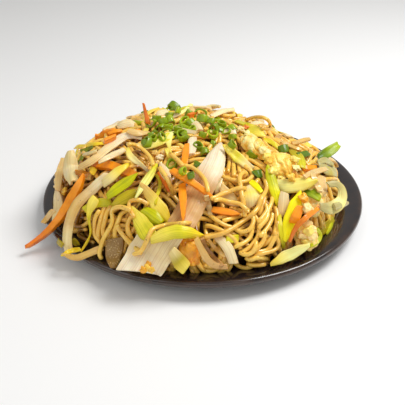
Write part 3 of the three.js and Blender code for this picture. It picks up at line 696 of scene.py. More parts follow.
class Recipe:
    """Adds and links the shader nodes of one material."""

    def __init__(self, name: str) -> None:
        """Starts a material with its main shader.

        Args:
            name: the material's name.
        """
        self.material = bpy.data.materials.new(name)
        self.material.use_nodes = True
        self.tree = self.material.node_tree
        self.shader = self.tree.nodes["Principled BSDF"]

    def node(self, kind: str, settings: dict[str, object] | None = None, **inputs: object) -> bpy.types.Node:
        """Adds a node.

        Args:
            kind: its type.
            settings: properties of the node.
            **inputs: sockets by name; a value or another node's socket.

        Returns:
            The new node.
        """
        made = self.tree.nodes.new(kind)
        for key, value in (settings or {}).items():
            setattr(made, key, value)
        for key, value in inputs.items():
            self.feed(made, key, value)
        return made

    def feed(self, node: bpy.types.Node, name: str | int, value: object) -> None:
        """Links a socket to an input, or sets its value.

        Args:
            node: the node.
            name: its input, by name or number.
            value: a value or another node's socket.
        """
        if isinstance(value, Socket):
            self.tree.links.new(value, node.inputs[name])
        else:
            node.inputs[name].default_value = value

    def shine(self, **inputs: object) -> None:
        """Feeds the main shader's inputs, with _ for a blank in a name."""
        for name, value in inputs.items():
            self.feed(self.shader, name.replace("_", " "), value)

    def own_places(self) -> Socket:
        """Places on the piece, in millimetres."""
        return self.stretched(self.node("ShaderNodeTexCoord").outputs["Object"], (1 / MM,) * 3)

    def stored(self, name: str) -> bpy.types.Node:
        """Reads what the mesh stores under a name."""
        return self.node("ShaderNodeAttribute", {"attribute_name": name})

    def product(self, kind: str, first: Socket, second: object) -> Socket:
        """Multiplies two vectors or two values.

        Args:
            kind: the node's type.
            first: the one.
            second: the other, as a socket or a number.

        Returns:
            Their product.
        """
        made = self.node(kind, {"operation": "MULTIPLY"})
        self.feed(made, 0, first)
        self.feed(made, 1, second)
        return made.outputs[0]

    def stretched(self, vector: Socket, scale: tuple[float, float, float]) -> Socket:
        """Scales a vector by each axis."""
        return self.product("ShaderNodeVectorMath", vector, scale)

    def times(self, first: Socket, second: Socket | float) -> Socket:
        """Multiplies two values."""
        return self.product("ShaderNodeMath", first, second)

    def grainy(self, vector: Socket, scale: Sequence[float], detail: float = 3.0) -> Socket:
        """Soft noise from 0 to 1 over a scaled vector."""
        inputs = {"Vector": self.stretched(vector, scale), "Scale": 1.0, "Detail": detail, "Roughness": 0.55}
        return self.node("ShaderNodeTexNoise", **inputs).outputs[0]

    def spread(self, value: Socket, low: float, high: float, to: Range = (0.0, 1.0)) -> Socket:
        """Maps a range to another one and keeps to it.

        Args:
            value: what is mapped.
            low: where the range starts.
            high: where it ends.
            to: the range that it becomes.

        Returns:
            The mapped value.
        """
        made = self.node("ShaderNodeMapRange", Value=value)
        for index, number in enumerate((low, high, *to), start=1):
            self.feed(made, index, number)
        return made.outputs[0]

    def blend(self, share: object, first: object, second: object, way: str = "MIX") -> Socket:
        """Mixes two colours.

        Args:
            share: how much of the second there is.
            first: the one, as a socket or a colour.
            second: the other.
            way: how they mix.

        Returns:
            The mixed colour.
        """
        made = self.node("ShaderNodeMix", {"data_type": "RGBA", "blend_type": way})
        self.feed(made, 0, share)
        for index, colour in ((6, first), (7, second)):
            self.feed(made, index, (*colour, 1.0) if isinstance(colour, tuple) else colour)
        return made.outputs[2]

    def bumped(self, height: Socket, relief: float, strength: float) -> None:
        """Gives the surface relief of some millimetres."""
        bump = self.node("ShaderNodeBump", Height=height, Distance=relief * MM, Strength=strength)
        self.shine(Normal=bump.outputs[0])


@dataclass(frozen=True)
class FoodFinish:
    """How one kind of food looks: mottling, fibres along it, specks of sauce, gloss and relief.

    Sizes are in millimetres. The piece's own colour comes from its hue.
    """

    name: str
    slot: str
    mottle: float = 5.0
    mottle_range: Range = (0.28, 0.72)
    fibre: float = 0.5
    fibre_length: float = 22.0
    fibre_range: Range = (0.3, 0.7)
    piece_rate: float = 1.7
    fibres: float = 0.35
    depth: float = 0.5
    dark: Colour = (0.55, 0.42, 0.22)
    light: Colour = (1.06, 1.05, 0.96)
    light_from: float = 0.75
    speck: float = 1.0
    specks: float = 0.0
    speck_from: float = 0.72
    speck_edge: float = 0.06
    speck_share: float = 0.8
    speck_hue: Colour = linear(120, 72, 20)
    roughness: float = 0.34
    duller: float = 0.12
    glossier: float = 0.08
    gloss: float = 0.35
    gloss_roughness: float = 0.16
    soft: float = 0.12
    soft_radius: Colour = (1.0, 0.55, 0.22)
    soft_depth: float = 1.6
    shine: float = 0.5
    relief: float = 0.12
    own_places: bool = False

    def make(self) -> bpy.types.Material:
        """Builds the material.

        Returns:
            The material.
        """
        recipe = Recipe(self.name)
        grain = recipe.own_places() if self.own_places else recipe.stored("grain").outputs["Vector"]
        mottle = recipe.grainy(grain, (1 / self.mottle,) * 3)
        fibre = recipe.grainy(grain, (1 / self.fibre_length, 1 / self.fibre, self.piece_rate), 2.0)
        mottle = recipe.spread(mottle, *self.mottle_range)
        both = recipe.node("ShaderNodeMix", {"data_type": "FLOAT"})
        for index, value in ((0, self.fibres), (2, mottle), (3, recipe.spread(fibre, *self.fibre_range))):
            recipe.feed(both, index, value)
        pattern = both.outputs[0]
        hue = recipe.stored("hue").outputs["Color"]
        colour = recipe.blend(1.0, hue, self.shades(recipe, pattern), "MULTIPLY")
        if self.specks > 0:
            fleck = recipe.grainy(grain, (1 / self.speck,) * 3, 1.0)
            start = self.speck_from - 0.1 * self.specks
            fleck = recipe.spread(fleck, start, start + self.speck_edge)
            colour = recipe.blend(recipe.times(fleck, self.speck_share), colour, self.speck_hue)
        dull = recipe.spread(mottle, 0.0, 1.0, (self.roughness + self.duller, self.roughness - self.glossier))
        recipe.shine(Base_Color=colour, Roughness=dull, Specular_IOR_Level=self.shine, Coat_Weight=self.gloss)
        recipe.shine(Coat_Roughness=self.gloss_roughness, Subsurface_Weight=self.soft)
        recipe.shine(Subsurface_Radius=self.soft_radius, Subsurface_Scale=self.soft_depth * MM)
        recipe.bumped(pattern, self.relief, 0.9)
        return recipe.material

    def shades(self, recipe: Recipe, pattern: Socket) -> Socket:
        """Turns the pattern into shades that the hue is multiplied by.

        Args:
            recipe: takes the nodes.
            pattern: the mottling and the fibres together.

        Returns:
            The shades.
        """
        shade = recipe.node("ShaderNodeValToRGB")
        low, high = shade.color_ramp.elements
        low.color = (*(1 + (d - 1) * self.depth for d in self.dark), 1.0)
        high.color = (*self.light, 1.0)
        high.position = self.light_from
        recipe.feed(shade, 0, pattern)
        return shade.outputs[0]


@dataclass(frozen=True)
class GlazeFinish:
    """A dark, mottled, glossy glaze that thins to brown along the lip."""

    name: str = "dark_glaze"
    slot: str = "plate_glaze"
    body: Colour = linear(26, 22, 24)
    thin: Colour = linear(66, 46, 34)
    lip: Range = (83.5, 86.0)
    cloud: float = 9.0
    cloud_range: Range = (0.35, 0.75)
    cloud_share: Range = (0.0, 0.3)
    worn_range: Range = (0.3, 0.6)
    fleck: float = 0.9
    fleck_range: Range = (0.66, 0.76)
    fleck_share: float = 0.25
    rough_range: Range = (0.3, 0.7)
    roughness: Range = (0.14, 0.26)
    gloss: float = 0.5
    gloss_roughness: float = 0.08
    relief: float = 0.12

    def make(self) -> bpy.types.Material:
        """Builds the material.

        Returns:
            The material.
        """
        recipe = Recipe(self.name)
        spots = recipe.own_places()
        away = recipe.node("ShaderNodeVectorMath", {"operation": "LENGTH"})
        recipe.feed(away, 0, recipe.stretched(spots, (1.0, 1.0, 0.0)))
        cloud = recipe.grainy(spots, (1 / self.cloud,) * 3, 4.0)
        fleck = recipe.spread(recipe.grainy(spots, (1 / self.fleck,) * 3, 1.0), *self.fleck_range)
        edge = recipe.spread(away.outputs["Value"], *self.lip)
        edge = recipe.times(edge, recipe.spread(cloud, *self.worn_range))
        colour = recipe.blend(recipe.spread(cloud, *self.cloud_range, self.cloud_share), self.body, self.thin)
        colour = recipe.blend(edge, colour, self.thin)
        colour = recipe.blend(recipe.times(fleck, self.fleck_share), colour, self.thin)
        recipe.shine(Base_Color=colour, Roughness=recipe.spread(cloud, *self.rough_range, self.roughness))
        recipe.shine(Coat_Weight=self.gloss, Coat_Roughness=self.gloss_roughness)
        recipe.bumped(cloud, self.relief, 0.5)
        return recipe.material


class Finish(Enum):
    """The finishes of the food and the plate."""

    NOODLE = FoodFinish("noodle", "noodle", mottle=6.0, fibre=0.7, fibres=0.3, depth=0.42,
                        dark=(0.72, 0.46, 0.16), specks=0.25, roughness=0.28, gloss=0.5, soft=0.15,
                        relief=0.1)
    # The heap's dark inside: painted shade for the gaps between noodles.
    CORE = FoodFinish("sauce_core", "noodle", mottle=3.0, fibres=0.1, depth=0.9, roughness=0.4, gloss=0.3,
                      relief=1.0, own_places=True)
    LEEK = FoodFinish("white_leek", "white_leek", mottle=8.0, fibre_length=48.0, fibres=0.7, depth=0.7,
                      dark=(0.74, 0.58, 0.36), roughness=0.4, gloss=0.14, soft=0.15, shine=0.3, relief=0.14)
    LEAF = FoodFinish("yellow_leaf", "yellow_leaf", mottle=7.0, fibre=0.6, fibre_length=30.0, fibres=0.55,
                      depth=0.55, dark=(0.78, 0.68, 0.22), roughness=0.36, gloss=0.14, soft=0.1, shine=0.3,
                      relief=0.14)
    GREEN = FoodFinish("green_leaf", "green_leaf", mottle=6.0, fibre_length=36.0, fibres=0.65, depth=0.8,
                       dark=(0.56, 0.6, 0.14), gloss=0.14, soft=0.08, shine=0.25, relief=0.14)
    CARROT = FoodFinish("carrot", "carrot", mottle=3.4, fibre=0.7, fibre_length=14.0, fibres=0.45,
                        depth=0.6, dark=(0.84, 0.56, 0.24), gloss=0.22, soft=0.04, shine=0.35)
    ONION = FoodFinish("onion", "onion", mottle=7.0, fibre=0.8, fibre_length=34.0, fibres=0.45, depth=0.65,
                       dark=(0.74, 0.54, 0.26), specks=0.03, roughness=0.27, gloss=0.45, soft=0.18,
                       relief=0.1)
    BROWN = FoodFinish("brown_strip", "brown_strip", mottle=3.0, fibre=1.0, fibres=0.3, speck=0.7,
                       specks=0.9, speck_hue=linear(224, 190, 120), relief=0.3)
    EGG = FoodFinish("egg", "egg", mottle=2.4, fibres=0.0, depth=0.3, dark=(1.0, 0.76, 0.34), specks=0.1,
                     speck_hue=linear(224, 128, 30), roughness=0.4, gloss=0.25, soft=0.2, relief=0.4,
                     own_places=True)
    ONION_RING = FoodFinish("spring_onion", "green_leaf", mottle=2.4, fibre=0.4, fibres=0.5,
                            dark=(0.56, 0.62, 0.2), roughness=0.3, gloss=0.28, soft=0.1, shine=0.35,
                            relief=0.06)
    GLAZE = GlazeFinish()


class Palette:
    """Makes each finish once and lays it on pieces."""

    def __init__(self) -> None:
        """Starts with no material made."""
        self.made: dict[Finish, bpy.types.Material] = {}

    def dress(self, piece: bpy.types.Object, finish: Finish) -> None:
        """Gives a piece its finish and joins it to the body.

        Args:
            piece: the object.
            finish: what it gets.
        """
        if finish not in self.made:
            self.made[finish] = finish.value.make()
        piece.data.materials.clear()
        piece.data.materials.append(self.made[finish])
        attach(piece, BODY)
        log.info("%s: %d faces, %s", piece.name, len(piece.data.polygons), finish.value.name)


# ---------------------------------------------------------------- strips


@dataclass(frozen=True)
class Cut:
    """How a kind of topping is cut, and how it lies."""

    finish: Finish
    thickness: float
    hue: Hue
    across: int = 4
    cup: float = 0.0
    profile: tuple[float, ...] = (0.75, 1, 1, 0.75)
    facing: float = 0.45
    ruffle: float = 0.0
    bevel: float = 0.0
    slant: float = 0.3
    keel: float = 0.0
    twist: Range = (0.0, 0.0)
    lift: tuple[float, ...] = (0.0, 0.0)
    uneven: float = 0.1
    thin: float = 1.0
    stain: float = 0.4
    rough: float = 0.1


class Kind(Enum):
    """The kinds of topping."""

    CARROT = Cut(Finish.CARROT, 3.0, Hue.CARROT, across=3, profile=(0.85, 1, 1, 0.85), bevel=0.35,
                 uneven=0.04, rough=0.16)
    LEEK = Cut(Finish.LEEK, 1.8, Hue.IVORY, across=5, cup=0.5, ruffle=0.15, bevel=0.25, uneven=0.03,
               thin=0.75)
    LEAF = Cut(Finish.LEAF, 1.1, Hue.BUTTER, across=5, ruffle=0.45, uneven=0.07, thin=0.7)
    GREEN = Cut(Finish.GREEN, 1.1, Hue.LIME, across=5, ruffle=0.35, uneven=0.06, thin=0.7)
    ONION = Cut(Finish.ONION, 1.5, Hue.TAN, ruffle=0.12, bevel=0.3, uneven=0.06, thin=0.85)
    BROWN = Cut(Finish.BROWN, 2.0, Hue.BROWN, ruffle=0.2, bevel=0.4)


@dataclass(frozen=True)
class Topping:
    """One strip: its name, its kind, its width and its route on the layout sheet.

    A route's third number is the height above the pile. A value that isn't given comes from the kind.
    """

    name: str
    kind: Kind
    width: float
    route: Route
    hues: tuple[Hue, ...] = ()
    profile: tuple[float, ...] | None = None
    thickness: float | None = None
    cup: float | None = None
    facing: float | None = None
    ruffle: float | None = None
    slant: float | None = None
    keel: float | None = None
    twist: Range | None = None
    lift: tuple[float, ...] | None = None

    @property
    def seed(self) -> int:
        """A number of its own, from its name."""
        return sum(map(ord, self.name))

    def value(self, name: str) -> float | tuple[float, ...]:
        """A value of its own, or its kind's."""
        own = getattr(self, name)
        return getattr(self.kind.value, name) if own is None else own

    def widths(self, part: np.ndarray) -> np.ndarray:
        """Widths that follow the profile.

        Args:
            part: shares of the length.

        Returns:
            A width for each.
        """
        shares = self.value("profile")
        width = np.interp(part, np.linspace(0, 1, len(shares)), shares)
        return self.width * evened(width[:, None], 2)[:, 0]

    def edges(self, walked: np.ndarray, soft: float = 5.0, quick: float = 1.1) -> np.ndarray:
        """How far each edge strays from the width.

        Args:
            walked: distances along the strip.
            soft: size of the soft bumps.
            quick: size of the quick ones.

        Returns:
            Rows of shares of the width, for the left and the right edge.
        """
        amount = self.kind.value.uneven
        return np.array(
            [
                [amount * noise.noise(Vector((self.seed + side, w / soft, 0.0))) * 2 for w in walked]
                + 0.5 * amount * np.sin(walked / quick + self.seed * side)
                for side in (1, 7)
            ]
        ).T

    def colours(self, part: np.ndarray, end: float = 0.15) -> np.ndarray:
        """Hues along the piece, blended from one to the next.

        Args:
            part: shares of the length.
            end: share at each end that keeps one hue.

        Returns:
            Rows of linear colours.
        """
        hues = np.array([hue.value for hue in self.hues or (self.kind.value.hue,)])
        if len(hues) == 1:
            return np.repeat(hues, len(part), axis=0)
        knots = np.linspace(end, 1 - end, len(hues))
        return np.stack([np.interp(part, knots, hues[:, k]) for k in range(3)], axis=1)


@dataclass(frozen=True)
class StripMaker:
    """Makes strips along middle lines in space."""

    step: float = 1.5
    steepest: float = 2.0
    end: float = 3.0
    wave: float = 2.3
    wave_shift: Range = (0.3, 1.9)
    ruffle_power: float = 1.6
    sway: float = 0.25
    sway_length: float = 3.1
    seeds: int = 97
    grain_step: float = 3.1
    stain: Colour = (0.8, 0.56, 0.22)
    patch: float = 4.0
    patch_range: Range = (0.6, 1.6)
    bump: float = 3.0

    def stations(self, topping: Topping) -> np.ndarray:
        """Stations of a route on the sheet."""
        return spline(topping.route, self.step * UNITS_PER_MM)

    def on_solid(self, topping: Topping, solid: Solids) -> np.ndarray:
        """Middle line of a strip whose outer face lies in a solid's outer face.

        Args:
            topping: what the strip is like.
            solid: the solid.

        Returns:
            Rows of points.
        """
        outer = solid.seen(self.stations(topping))
        outward = self.frames(topping, evened(outer, 2))[0]
        rise = topping.value("thickness") / 2 + max(topping.value("cup"), 0.0)
        return evened(outer - outward * rise, 2)

    def on_pile(self, topping: Topping, pile: Pile) -> np.ndarray:
        """Middle line of a strip that is laid on a pile.

        Args:
            topping: what the strip is like.
            pile: the pile.

        Returns:
            Rows of points.
        """
        stations = self.stations(topping)
        stations[:, 2] += topping.value("thickness") / 2
        return evened(pile.seen(stations, self.steepest * self.step), 3)

    def frames(self, topping: Topping, points: np.ndarray) -> tuple[np.ndarray, np.ndarray]:
        """Turns a strip between the heap's surface and the diner.

        Args:
            topping: what the strip is like.
            points: its middle line.

        Returns:
            Outward and sideways directions along the line.
        """
        along = unit(np.gradient(points, axis=0))
        to_seat = unit(SEAT.eye() - points)
        lean = topping.value("facing")
        outward = unit(MOUND.outward(points) * (1 - lean) + to_seat * lean)
        sideways = unit(np.cross(along, outward))
        return np.cross(sideways, along), sideways

    def rise(self, topping: Topping, walked: np.ndarray, across: np.ndarray) -> np.ndarray:
        """How far a strip stands out from its middle line: cup, keel, ruffle and lift.

        Args:
            topping: what the strip is like.
            walked: distances along it.
            across: shares of the half width, from -1 to 1.

        Returns:
            A height for each place of the sheet.
        """
        seed = float(topping.seed % self.seeds)
        cup = topping.value("cup")
        bow = cup * (1 - across**2) if cup > 0 else -cup * across**2
        bow = bow + topping.value("keel") * (1 - np.abs(across))
        near, far = self.wave_shift
        wave = np.sin(walked[:, None] / self.wave + np.where(across > 0, far, near) + seed)
        ruffle = topping.value("ruffle") * np.abs(across) ** self.ruffle_power * wave
        lifts = topping.value("lift")
        lift = np.interp(walked / walked[-1], np.linspace(0, 1, len(lifts)), lifts)
        lift = lift + self.sway * np.sin(walked / self.sway_length + seed)
        return bow + ruffle + lift[:, None]

    def stained(
        self, topping: Topping, walked: np.ndarray, across: np.ndarray, near_end: np.ndarray
    ) -> np.ndarray:
        """Hues of a strip, with sauce along its edges and at its ends.

        Args:
            topping: what the strip is like.
            walked: distances along it.
            across: shares of the half width, from -1 to 1.
            near_end: how near each row is to an end, from 0 to 1.

        Returns:
            A linear colour for each place of the sheet.
        """
        seed = float(topping.seed % self.seeds)
        hue = np.repeat(topping.colours(walked / walked[-1])[:, None, :], len(across), axis=1)
        edge = np.clip(0.5 * near_end[:, None] + np.abs(across) ** 4, 0, 1)
        patch = [[noise.noise(Vector((w / self.patch, 2.0 * side, seed))) for side in across] for w in walked]
        base, gain = self.patch_range
        share = (topping.kind.value.stain * edge * np.clip(base + gain * np.array(patch), 0, 1))[..., None]
        return hue * (1 - share * (1 - np.array(self.stain)))

    def sheet(self, topping: Topping, points: np.ndarray, fabric: Fabric) -> None:
        """Adds the strip's middle sheet to a fabric.

        Args:
            topping: what the strip is like.
            points: its middle line.
            fabric: takes the sheet.
        """
        seed = float(topping.seed % self.seeds)
        outward, sideways = self.frames(topping, points)
        along = np.cross(outward, sideways)
        turn = np.radians(np.interp(np.linspace(0, 1, len(points)), (0, 1), topping.value("twist")))[:, None]
        outward, sideways = (
            outward * np.cos(turn) + sideways * np.sin(turn),
            sideways * np.cos(turn) - outward * np.sin(turn),
        )
        walked = walk(points)
        half = topping.widths(walked / walked[-1]) / 2
        across = np.linspace(-1, 1, topping.kind.value.across + 1)
        stray = topping.edges(walked)
        spread = across * (1 + np.where(across < 0, stray[:, :1], stray[:, 1:]))
        near_end = np.clip(1 - np.minimum(walked, walked[-1] - walked) / self.end, 0, 1)
        slant = topping.value("slant") * (1 if seed % 2 else -1) * half * near_end
        rows = (
            points[:, None, :]
            + sideways[:, None, :] * (half[:, None] * spread)[..., None]
            + outward[:, None, :] * self.rise(topping, walked, across)[..., None]
            + along[:, None, :] * (slant[:, None] * across)[..., None]
        )
        own = np.array(seed * self.grain_step)
        grain = np.stack(np.broadcast_arrays(walked[:, None], half[:, None] * across, own), axis=-1)
        hue = self.stained(topping, walked, across, near_end)
        index = np.arange(rows.shape[0] * rows.shape[1]).reshape(rows.shape[:2])
        faces = np.stack([index[:-1, :-1], index[:-1, 1:], index[1:, 1:], index[1:, :-1]], axis=-1)
        fabric.add(rows.reshape(-1, 3), faces.reshape(-1, 4), grain.reshape(-1, 3), hue.reshape(-1, 3))

    def thicken(self, piece: bpy.types.Object, kind: Kind, thickness: float) -> None:
        """Turns sheets into solid strips with rounded edges.

        Args:
            piece: the sheets.
            kind: what they are cut from.
            thickness: the strips' own thickness, before what the kind takes off.
        """
        cut = kind.value
        finish_with(piece, "SOLIDIFY", thickness=thickness * cut.thin * MM, offset=0.0)
        if cut.bevel > 0:
            round_edges(piece, cut.bevel)
        finish_with(piece, "SUBSURF", levels=1, render_levels=1)
        face_outwards(piece)
        roughen(piece, cut.rough, self.bump, len(piece.name))


MAKER = StripMaker()


# ---------------------------------------------------------------- noodles


@dataclass(frozen=True)
class Strand:
    """A noodle's size, how finely it is made and how it lies."""

    radius: float = 1.12
    flat: float = 0.94
    sides: int = 8
    step: float = 1.5
    shortest: int = 8
    thickness: Range = (0.93, 1.05)
    tip: float = 0.5
    tip_width: float = 0.6
    swells: tuple[Range, ...] = ((0.04, 6.1), (0.03, 2.7))
    sauce: float = 0.34
    rise: float = 0.8
    squeeze: float = 0.9
    overlap: int = 3
    gap: float = 0.15
    footing: float = 0.62
    stiffness: int = 12
    dents: tuple[float, ...] = (-0.85, -0.45, 0.0, 0.45, 0.85)
    dive: float = 3.0
    dive_rows: int = 5
    highest: float = 0.6
    highest_named: float = 3.6
    highest_over: float = 30.0
    lowest: float = 2.0
    steepest: float = 1.8

    def faces(self, count: int) -> np.ndarray:
        """Faces of a tube with closed ends.

        Args:
            count: how many rings of vertices it has.

        Returns:
            Rows of four corners, the last one repeated in a triangle.
        """
        index = np.arange(count * self.sides).reshape(count, self.sides)
        turned = np.roll(index, -1, axis=1)
        faces = np.stack([index[:-1], turned[:-1], turned[1:], index[1:]], axis=-1).reshape(-1, 4)
        caps = []
        for end, order in ((index[0], -1), (index[-1], 1)):
            ring = end[::order]
            caps += [[ring[0], ring[k], ring[k + 1], ring[k + 1]] for k in range(1, self.sides - 1)]
        return np.vstack([faces, np.array(caps)])[:, ::-1]


STRAND = Strand()


@dataclass(frozen=True)
class Bundles:
    """The loose bundles of noodles that fill the heap, and how they wander over it."""

    count: int = 220
    length: Range = (60.0, 130.0)
    farthest: float = 86.0
    golden: float = 0.618034
    strands: tuple[int, int] = (2, 6)
    drift: float = 2.2
    waves: Range = (2, 7)
    phase: float = 6.0
    ragged: int = 12
    first_turn: float = 0.03
    turn: float = 0.0125
    keeping: float = 0.93
    homing: float = 0.05
    sharpest: float = 0.13
    margin: float = 3.0


class Tangle:
    """Lays noodles on each other and turns them into tubes."""

    LIMIT = 190_000
    GRAIN_STEP = 5.37
    GRAIN_SPAN = 211
    # Painted shade of deep noodles: it starts SHALLOW below the pile's surface, grows over DEEP millimetres
    # and tints them down to DEEP_SHADE.
    DEEP = 3.4
    SHALLOW = 0.8
    DEEP_SHADE = np.array([0.42, 0.3, 0.12])

    def __init__(self, pile: Pile, ceiling: np.ndarray, core: Pile, seed: int) -> None:
        """Starts a tangle.

        Args:
            pile: what the first noodles lie on.
            ceiling: radial distances of the toppings' inner faces.
            core: the solid heap's surface without its noodles.
            seed: chooses where noodles lie.
        """
        self.bundles = Bundles()
        self.pile = pile
        self.ceiling = Pile(ceiling)
        self.core = core
        self.random = np.random.default_rng(seed)
        self.fabrics = [Fabric()]
        self.laid = 0

    def drape(self, places: np.ndarray, highest: float, over: bool) -> tuple[np.ndarray, np.ndarray]:
        """Heights of a noodle that lies on the pile.

        Args:
            places: its places on the map.
            highest: how far it may stand over the core.
            over: whether it lies on the toppings as well.

        Returns:
            Radial distances where its middle line comes to lie, and the highest ones that it may have.
        """
        radius = STRAND.radius
        offsets = np.array([-STRAND.footing, 0.0, STRAND.footing]) * radius
        beside = places[None] + offsets[:, None, None] * beside_of(places)[None]
        floor = np.max(self.pile.at(beside) + np.sqrt(radius**2 - offsets**2)[:, None], axis=0)
        reach = floor.copy()
        for _ in range(STRAND.stiffness):
            reach[1:-1] = np.maximum(floor[1:-1], 0.5 * reach[1:-1] + 0.25 * (reach[:-2] + reach[2:]))
        cap = self.core.at(places) + highest
        if not over:
            free = np.min(self.ceiling.at(beside), axis=0) - radius - STRAND.gap
            cap = np.minimum(cap, limit_slope(free, STRAND.rise * STRAND.step))
        return reach, cap

    def lay(self, places: np.ndarray, highest: float, over: bool = False, whole: bool = False) -> None:
        """Lays one noodle along places of the map.

        Args:
            places: rows of places.
            highest: how far it may stand over the core.
            over: whether it lies on the toppings as well.
            whole: whether it is laid uncut, also where there is no room for it.
        """
        if len(places) < STRAND.shortest:
            return
        reach, cap = self.drape(places, highest, over)
        if whole:
            self.settle(Pile.points(places, evened(np.minimum(reach, cap), 3)))
            return
        fits = np.concatenate([[False], reach < cap + STRAND.squeeze, [False]])
        turns = np.flatnonzero(fits[1:] != fits[:-1])
        for start, end in zip(turns[::2], turns[1::2]):
            if end - start < STRAND.shortest:
                continue
            part = slice(max(start - STRAND.overlap, 0), end + STRAND.overlap)
            line = evened(np.minimum(reach[part], cap[part]), 3)
            dive = STRAND.dive * np.clip(1 - np.arange(len(line)) / STRAND.dive_rows, 0, 1) ** 2
            if start > 0:
                line -= dive
            if end < len(places):
                line -= dive[::-1]
            self.settle(Pile.points(places[part], line))

    def settle(self, points: np.ndarray) -> None:
        """Adds a noodle and raises the pile to it.

        Args:
            points: its middle line.
        """
        points = points[points[:, 2] > STRAND.lowest]
        if len(points) < STRAND.shortest:
            return
        self.tube(points)
        outward = unit(points - Pile.PIVOT)
        side = unit(np.cross(np.gradient(points, axis=0), outward))
        for share in STRAND.dents:
            edge = points + side * share * STRAND.radius
            edge = edge + outward * math.sqrt(1 - share**2) * STRAND.radius
            self.pile.mark(edge)
            self.pile.mark((edge[:-1] + edge[1:]) / 2)

    def tube(self, points: np.ndarray) -> None:
        """Adds a noodle's tube, with rounded ends.

        Args:
            points: its middle line.
        """
        form = STRAND
        if self.fabrics[-1].triangles() + 2 * form.sides * len(points) > self.LIMIT:
            self.fabrics.append(Fabric())
        along = unit(np.gradient(points, axis=0))
        outward = unit(points - Pile.PIVOT)
        side = unit(np.cross(along, outward))
        upward = np.cross(side, along)
        points = np.vstack([points[:1] - along[:1] * form.tip, points, points[-1:] + along[-1:] * form.tip])
        side = np.vstack([side[:1], side, side[-1:]])
        upward = np.vstack([upward[:1], upward, upward[-1:]])
        angles = np.linspace(0, 2 * math.pi, form.sides, endpoint=False)
        own = form.radius * self.random.uniform(*form.thickness)
        walked = np.arange(len(points)) * form.step
        swell = 1
        for number, (amount, length) in enumerate(form.swells, start=1):
            swell = swell + amount * np.sin(walked / length + number * self.laid)
        radius = own * swell
        radius[0] = radius[-1] = form.tip_width * own
        ring = (
            side[:, None, :] * np.cos(angles)[None, :, None]
            + upward[:, None, :] * form.flat * np.sin(angles)[None, :, None]
        )
        rows = points[:, None, :] + ring * radius[:, None, None]
        seed = self.laid * self.GRAIN_STEP % self.GRAIN_SPAN
        grain = np.stack(
            np.broadcast_arrays(walked[:, None], (own * angles)[None, :], np.array(seed)), axis=-1
        ).reshape(-1, 3)
        tint = self.random.uniform(0.0, 1.0)
        plain, sauce = np.array(Hue.NOODLE.value), np.array(Hue.SOY.value)
        hue = plain * (1 - form.sauce * tint) + sauce * form.sauce * tint
        hues = np.tile(hue, (len(grain), 1))
        self.fabrics[-1].add(rows.reshape(-1, 3), form.faces(len(rows)), grain, hues)
        self.laid += 1

    def shade(self, full: Pile) -> None:
        """Paints shade on the noodles that lie deep under the pile's surface, darker the deeper they lie.

        Args:
            full: the pile with everything on it.
        """
        for fabric in self.fabrics:
            for vertices, hues in zip(fabric.vertices, fabric.hues):
                below = full.at(Pile.places(vertices)) - np.linalg.norm(vertices - Pile.PIVOT, axis=1)
                share = smoothstep((below - self.SHALLOW) / self.DEEP)[:, None]
                hues *= 1 - share * (1 - self.DEEP_SHADE)

    def wander(self, start: np.ndarray, heading: float, length: float) -> np.ndarray:
        """A curly line over the map, which turns back at the foot of the heap.

        Args:
            start: its first place.
            heading: the angle that it sets out at.
            length: how long it is.

        Returns:
            Rows of places.
        """
        ways = self.bundles
        turn = self.random.normal(0, ways.first_turn)
        places = [start]
        for _ in range(int(length / STRAND.step)):
            here = places[-1]
            turn = ways.keeping * turn + self.random.normal(0, ways.turn)
            if np.linalg.norm(here) > self.foot(here):
                home = math.atan2(-here[1], -here[0])
                off = (home - heading + math.pi) % (2 * math.pi) - math.pi
                turn += ways.homing * math.copysign(1, off)
            turn = float(np.clip(turn, -ways.sharpest, ways.sharpest))
            heading += turn * STRAND.step
            places.append(here + STRAND.step * level_way(heading))
        return np.array(places)

    @staticmethod
    def foot(place: np.ndarray) -> float:
        """Distance from the map's middle to the heap's foot.

        Args:
            place: gives the direction.

        Returns:
            The distance.
        """
        way = place + np.array([1e-6, 0.0])
        way = way / np.linalg.norm(way)
        wide = MOUND.left if way[0] < 0 else MOUND.right
        deep = MOUND.front if way[1] < 0 else MOUND.back
        flat = 1 / math.hypot(way[0] / wide, way[1] / deep) - Bundles.margin
        return Pile.SCALE * math.atan2(flat, MOUND.skirt - Pile.PIVOT[2])

    def fill(self) -> None:
        """Lays loose bundles all over the heap, from the middle outwards and back again."""
        ways = self.bundles
        golden = math.pi * (3 - math.sqrt(5))
        for k in range(ways.count):
            away = ways.farthest * math.sqrt((k * ways.golden) % 1)
            start = away * level_way(k * golden)
            spine = self.wander(start, self.random.uniform(0, 2 * math.pi), self.random.uniform(*ways.length))
            side = beside_of(spine)
            strands = int(self.random.integers(*ways.strands))
            for strand in range(strands):
                shift = (strand - (strands - 1) / 2) * 2 * STRAND.radius
                drift = self.random.uniform(-ways.drift, ways.drift)
                run = np.linspace(0, self.random.uniform(*ways.waves), len(spine))
                drift = drift * np.sin(run + self.random.uniform(0, ways.phase))
                cut = int(self.random.integers(0, ways.ragged))
                places = evened(spine + side * (shift + drift)[:, None], 2)[cut:]
                self.lay(places, STRAND.highest)

    def lay_route(self, route: Route, ground: Pile, over: bool) -> None:
        """Lays a noodle along a route on the layout sheet.

        Args:
            route: its points on the sheet.
            ground: the pile it lies on.
            over: whether it lies over the toppings.
        """
        stations = spline(route, STRAND.step * UNITS_PER_MM)
        lifted = stations[:, 2].max() > 0
        stations[:, 2] += STRAND.radius
        points = ground.seen(stations, STRAND.steepest * STRAND.step)
        if lifted:
            self.tube(evened(points, 4))
            return
        kept = self.pile
        self.pile = ground
        highest = STRAND.highest_over if over else STRAND.highest_named
        self.lay(evened(Pile.places(points), 3), highest, over, whole=True)
        self.pile = kept

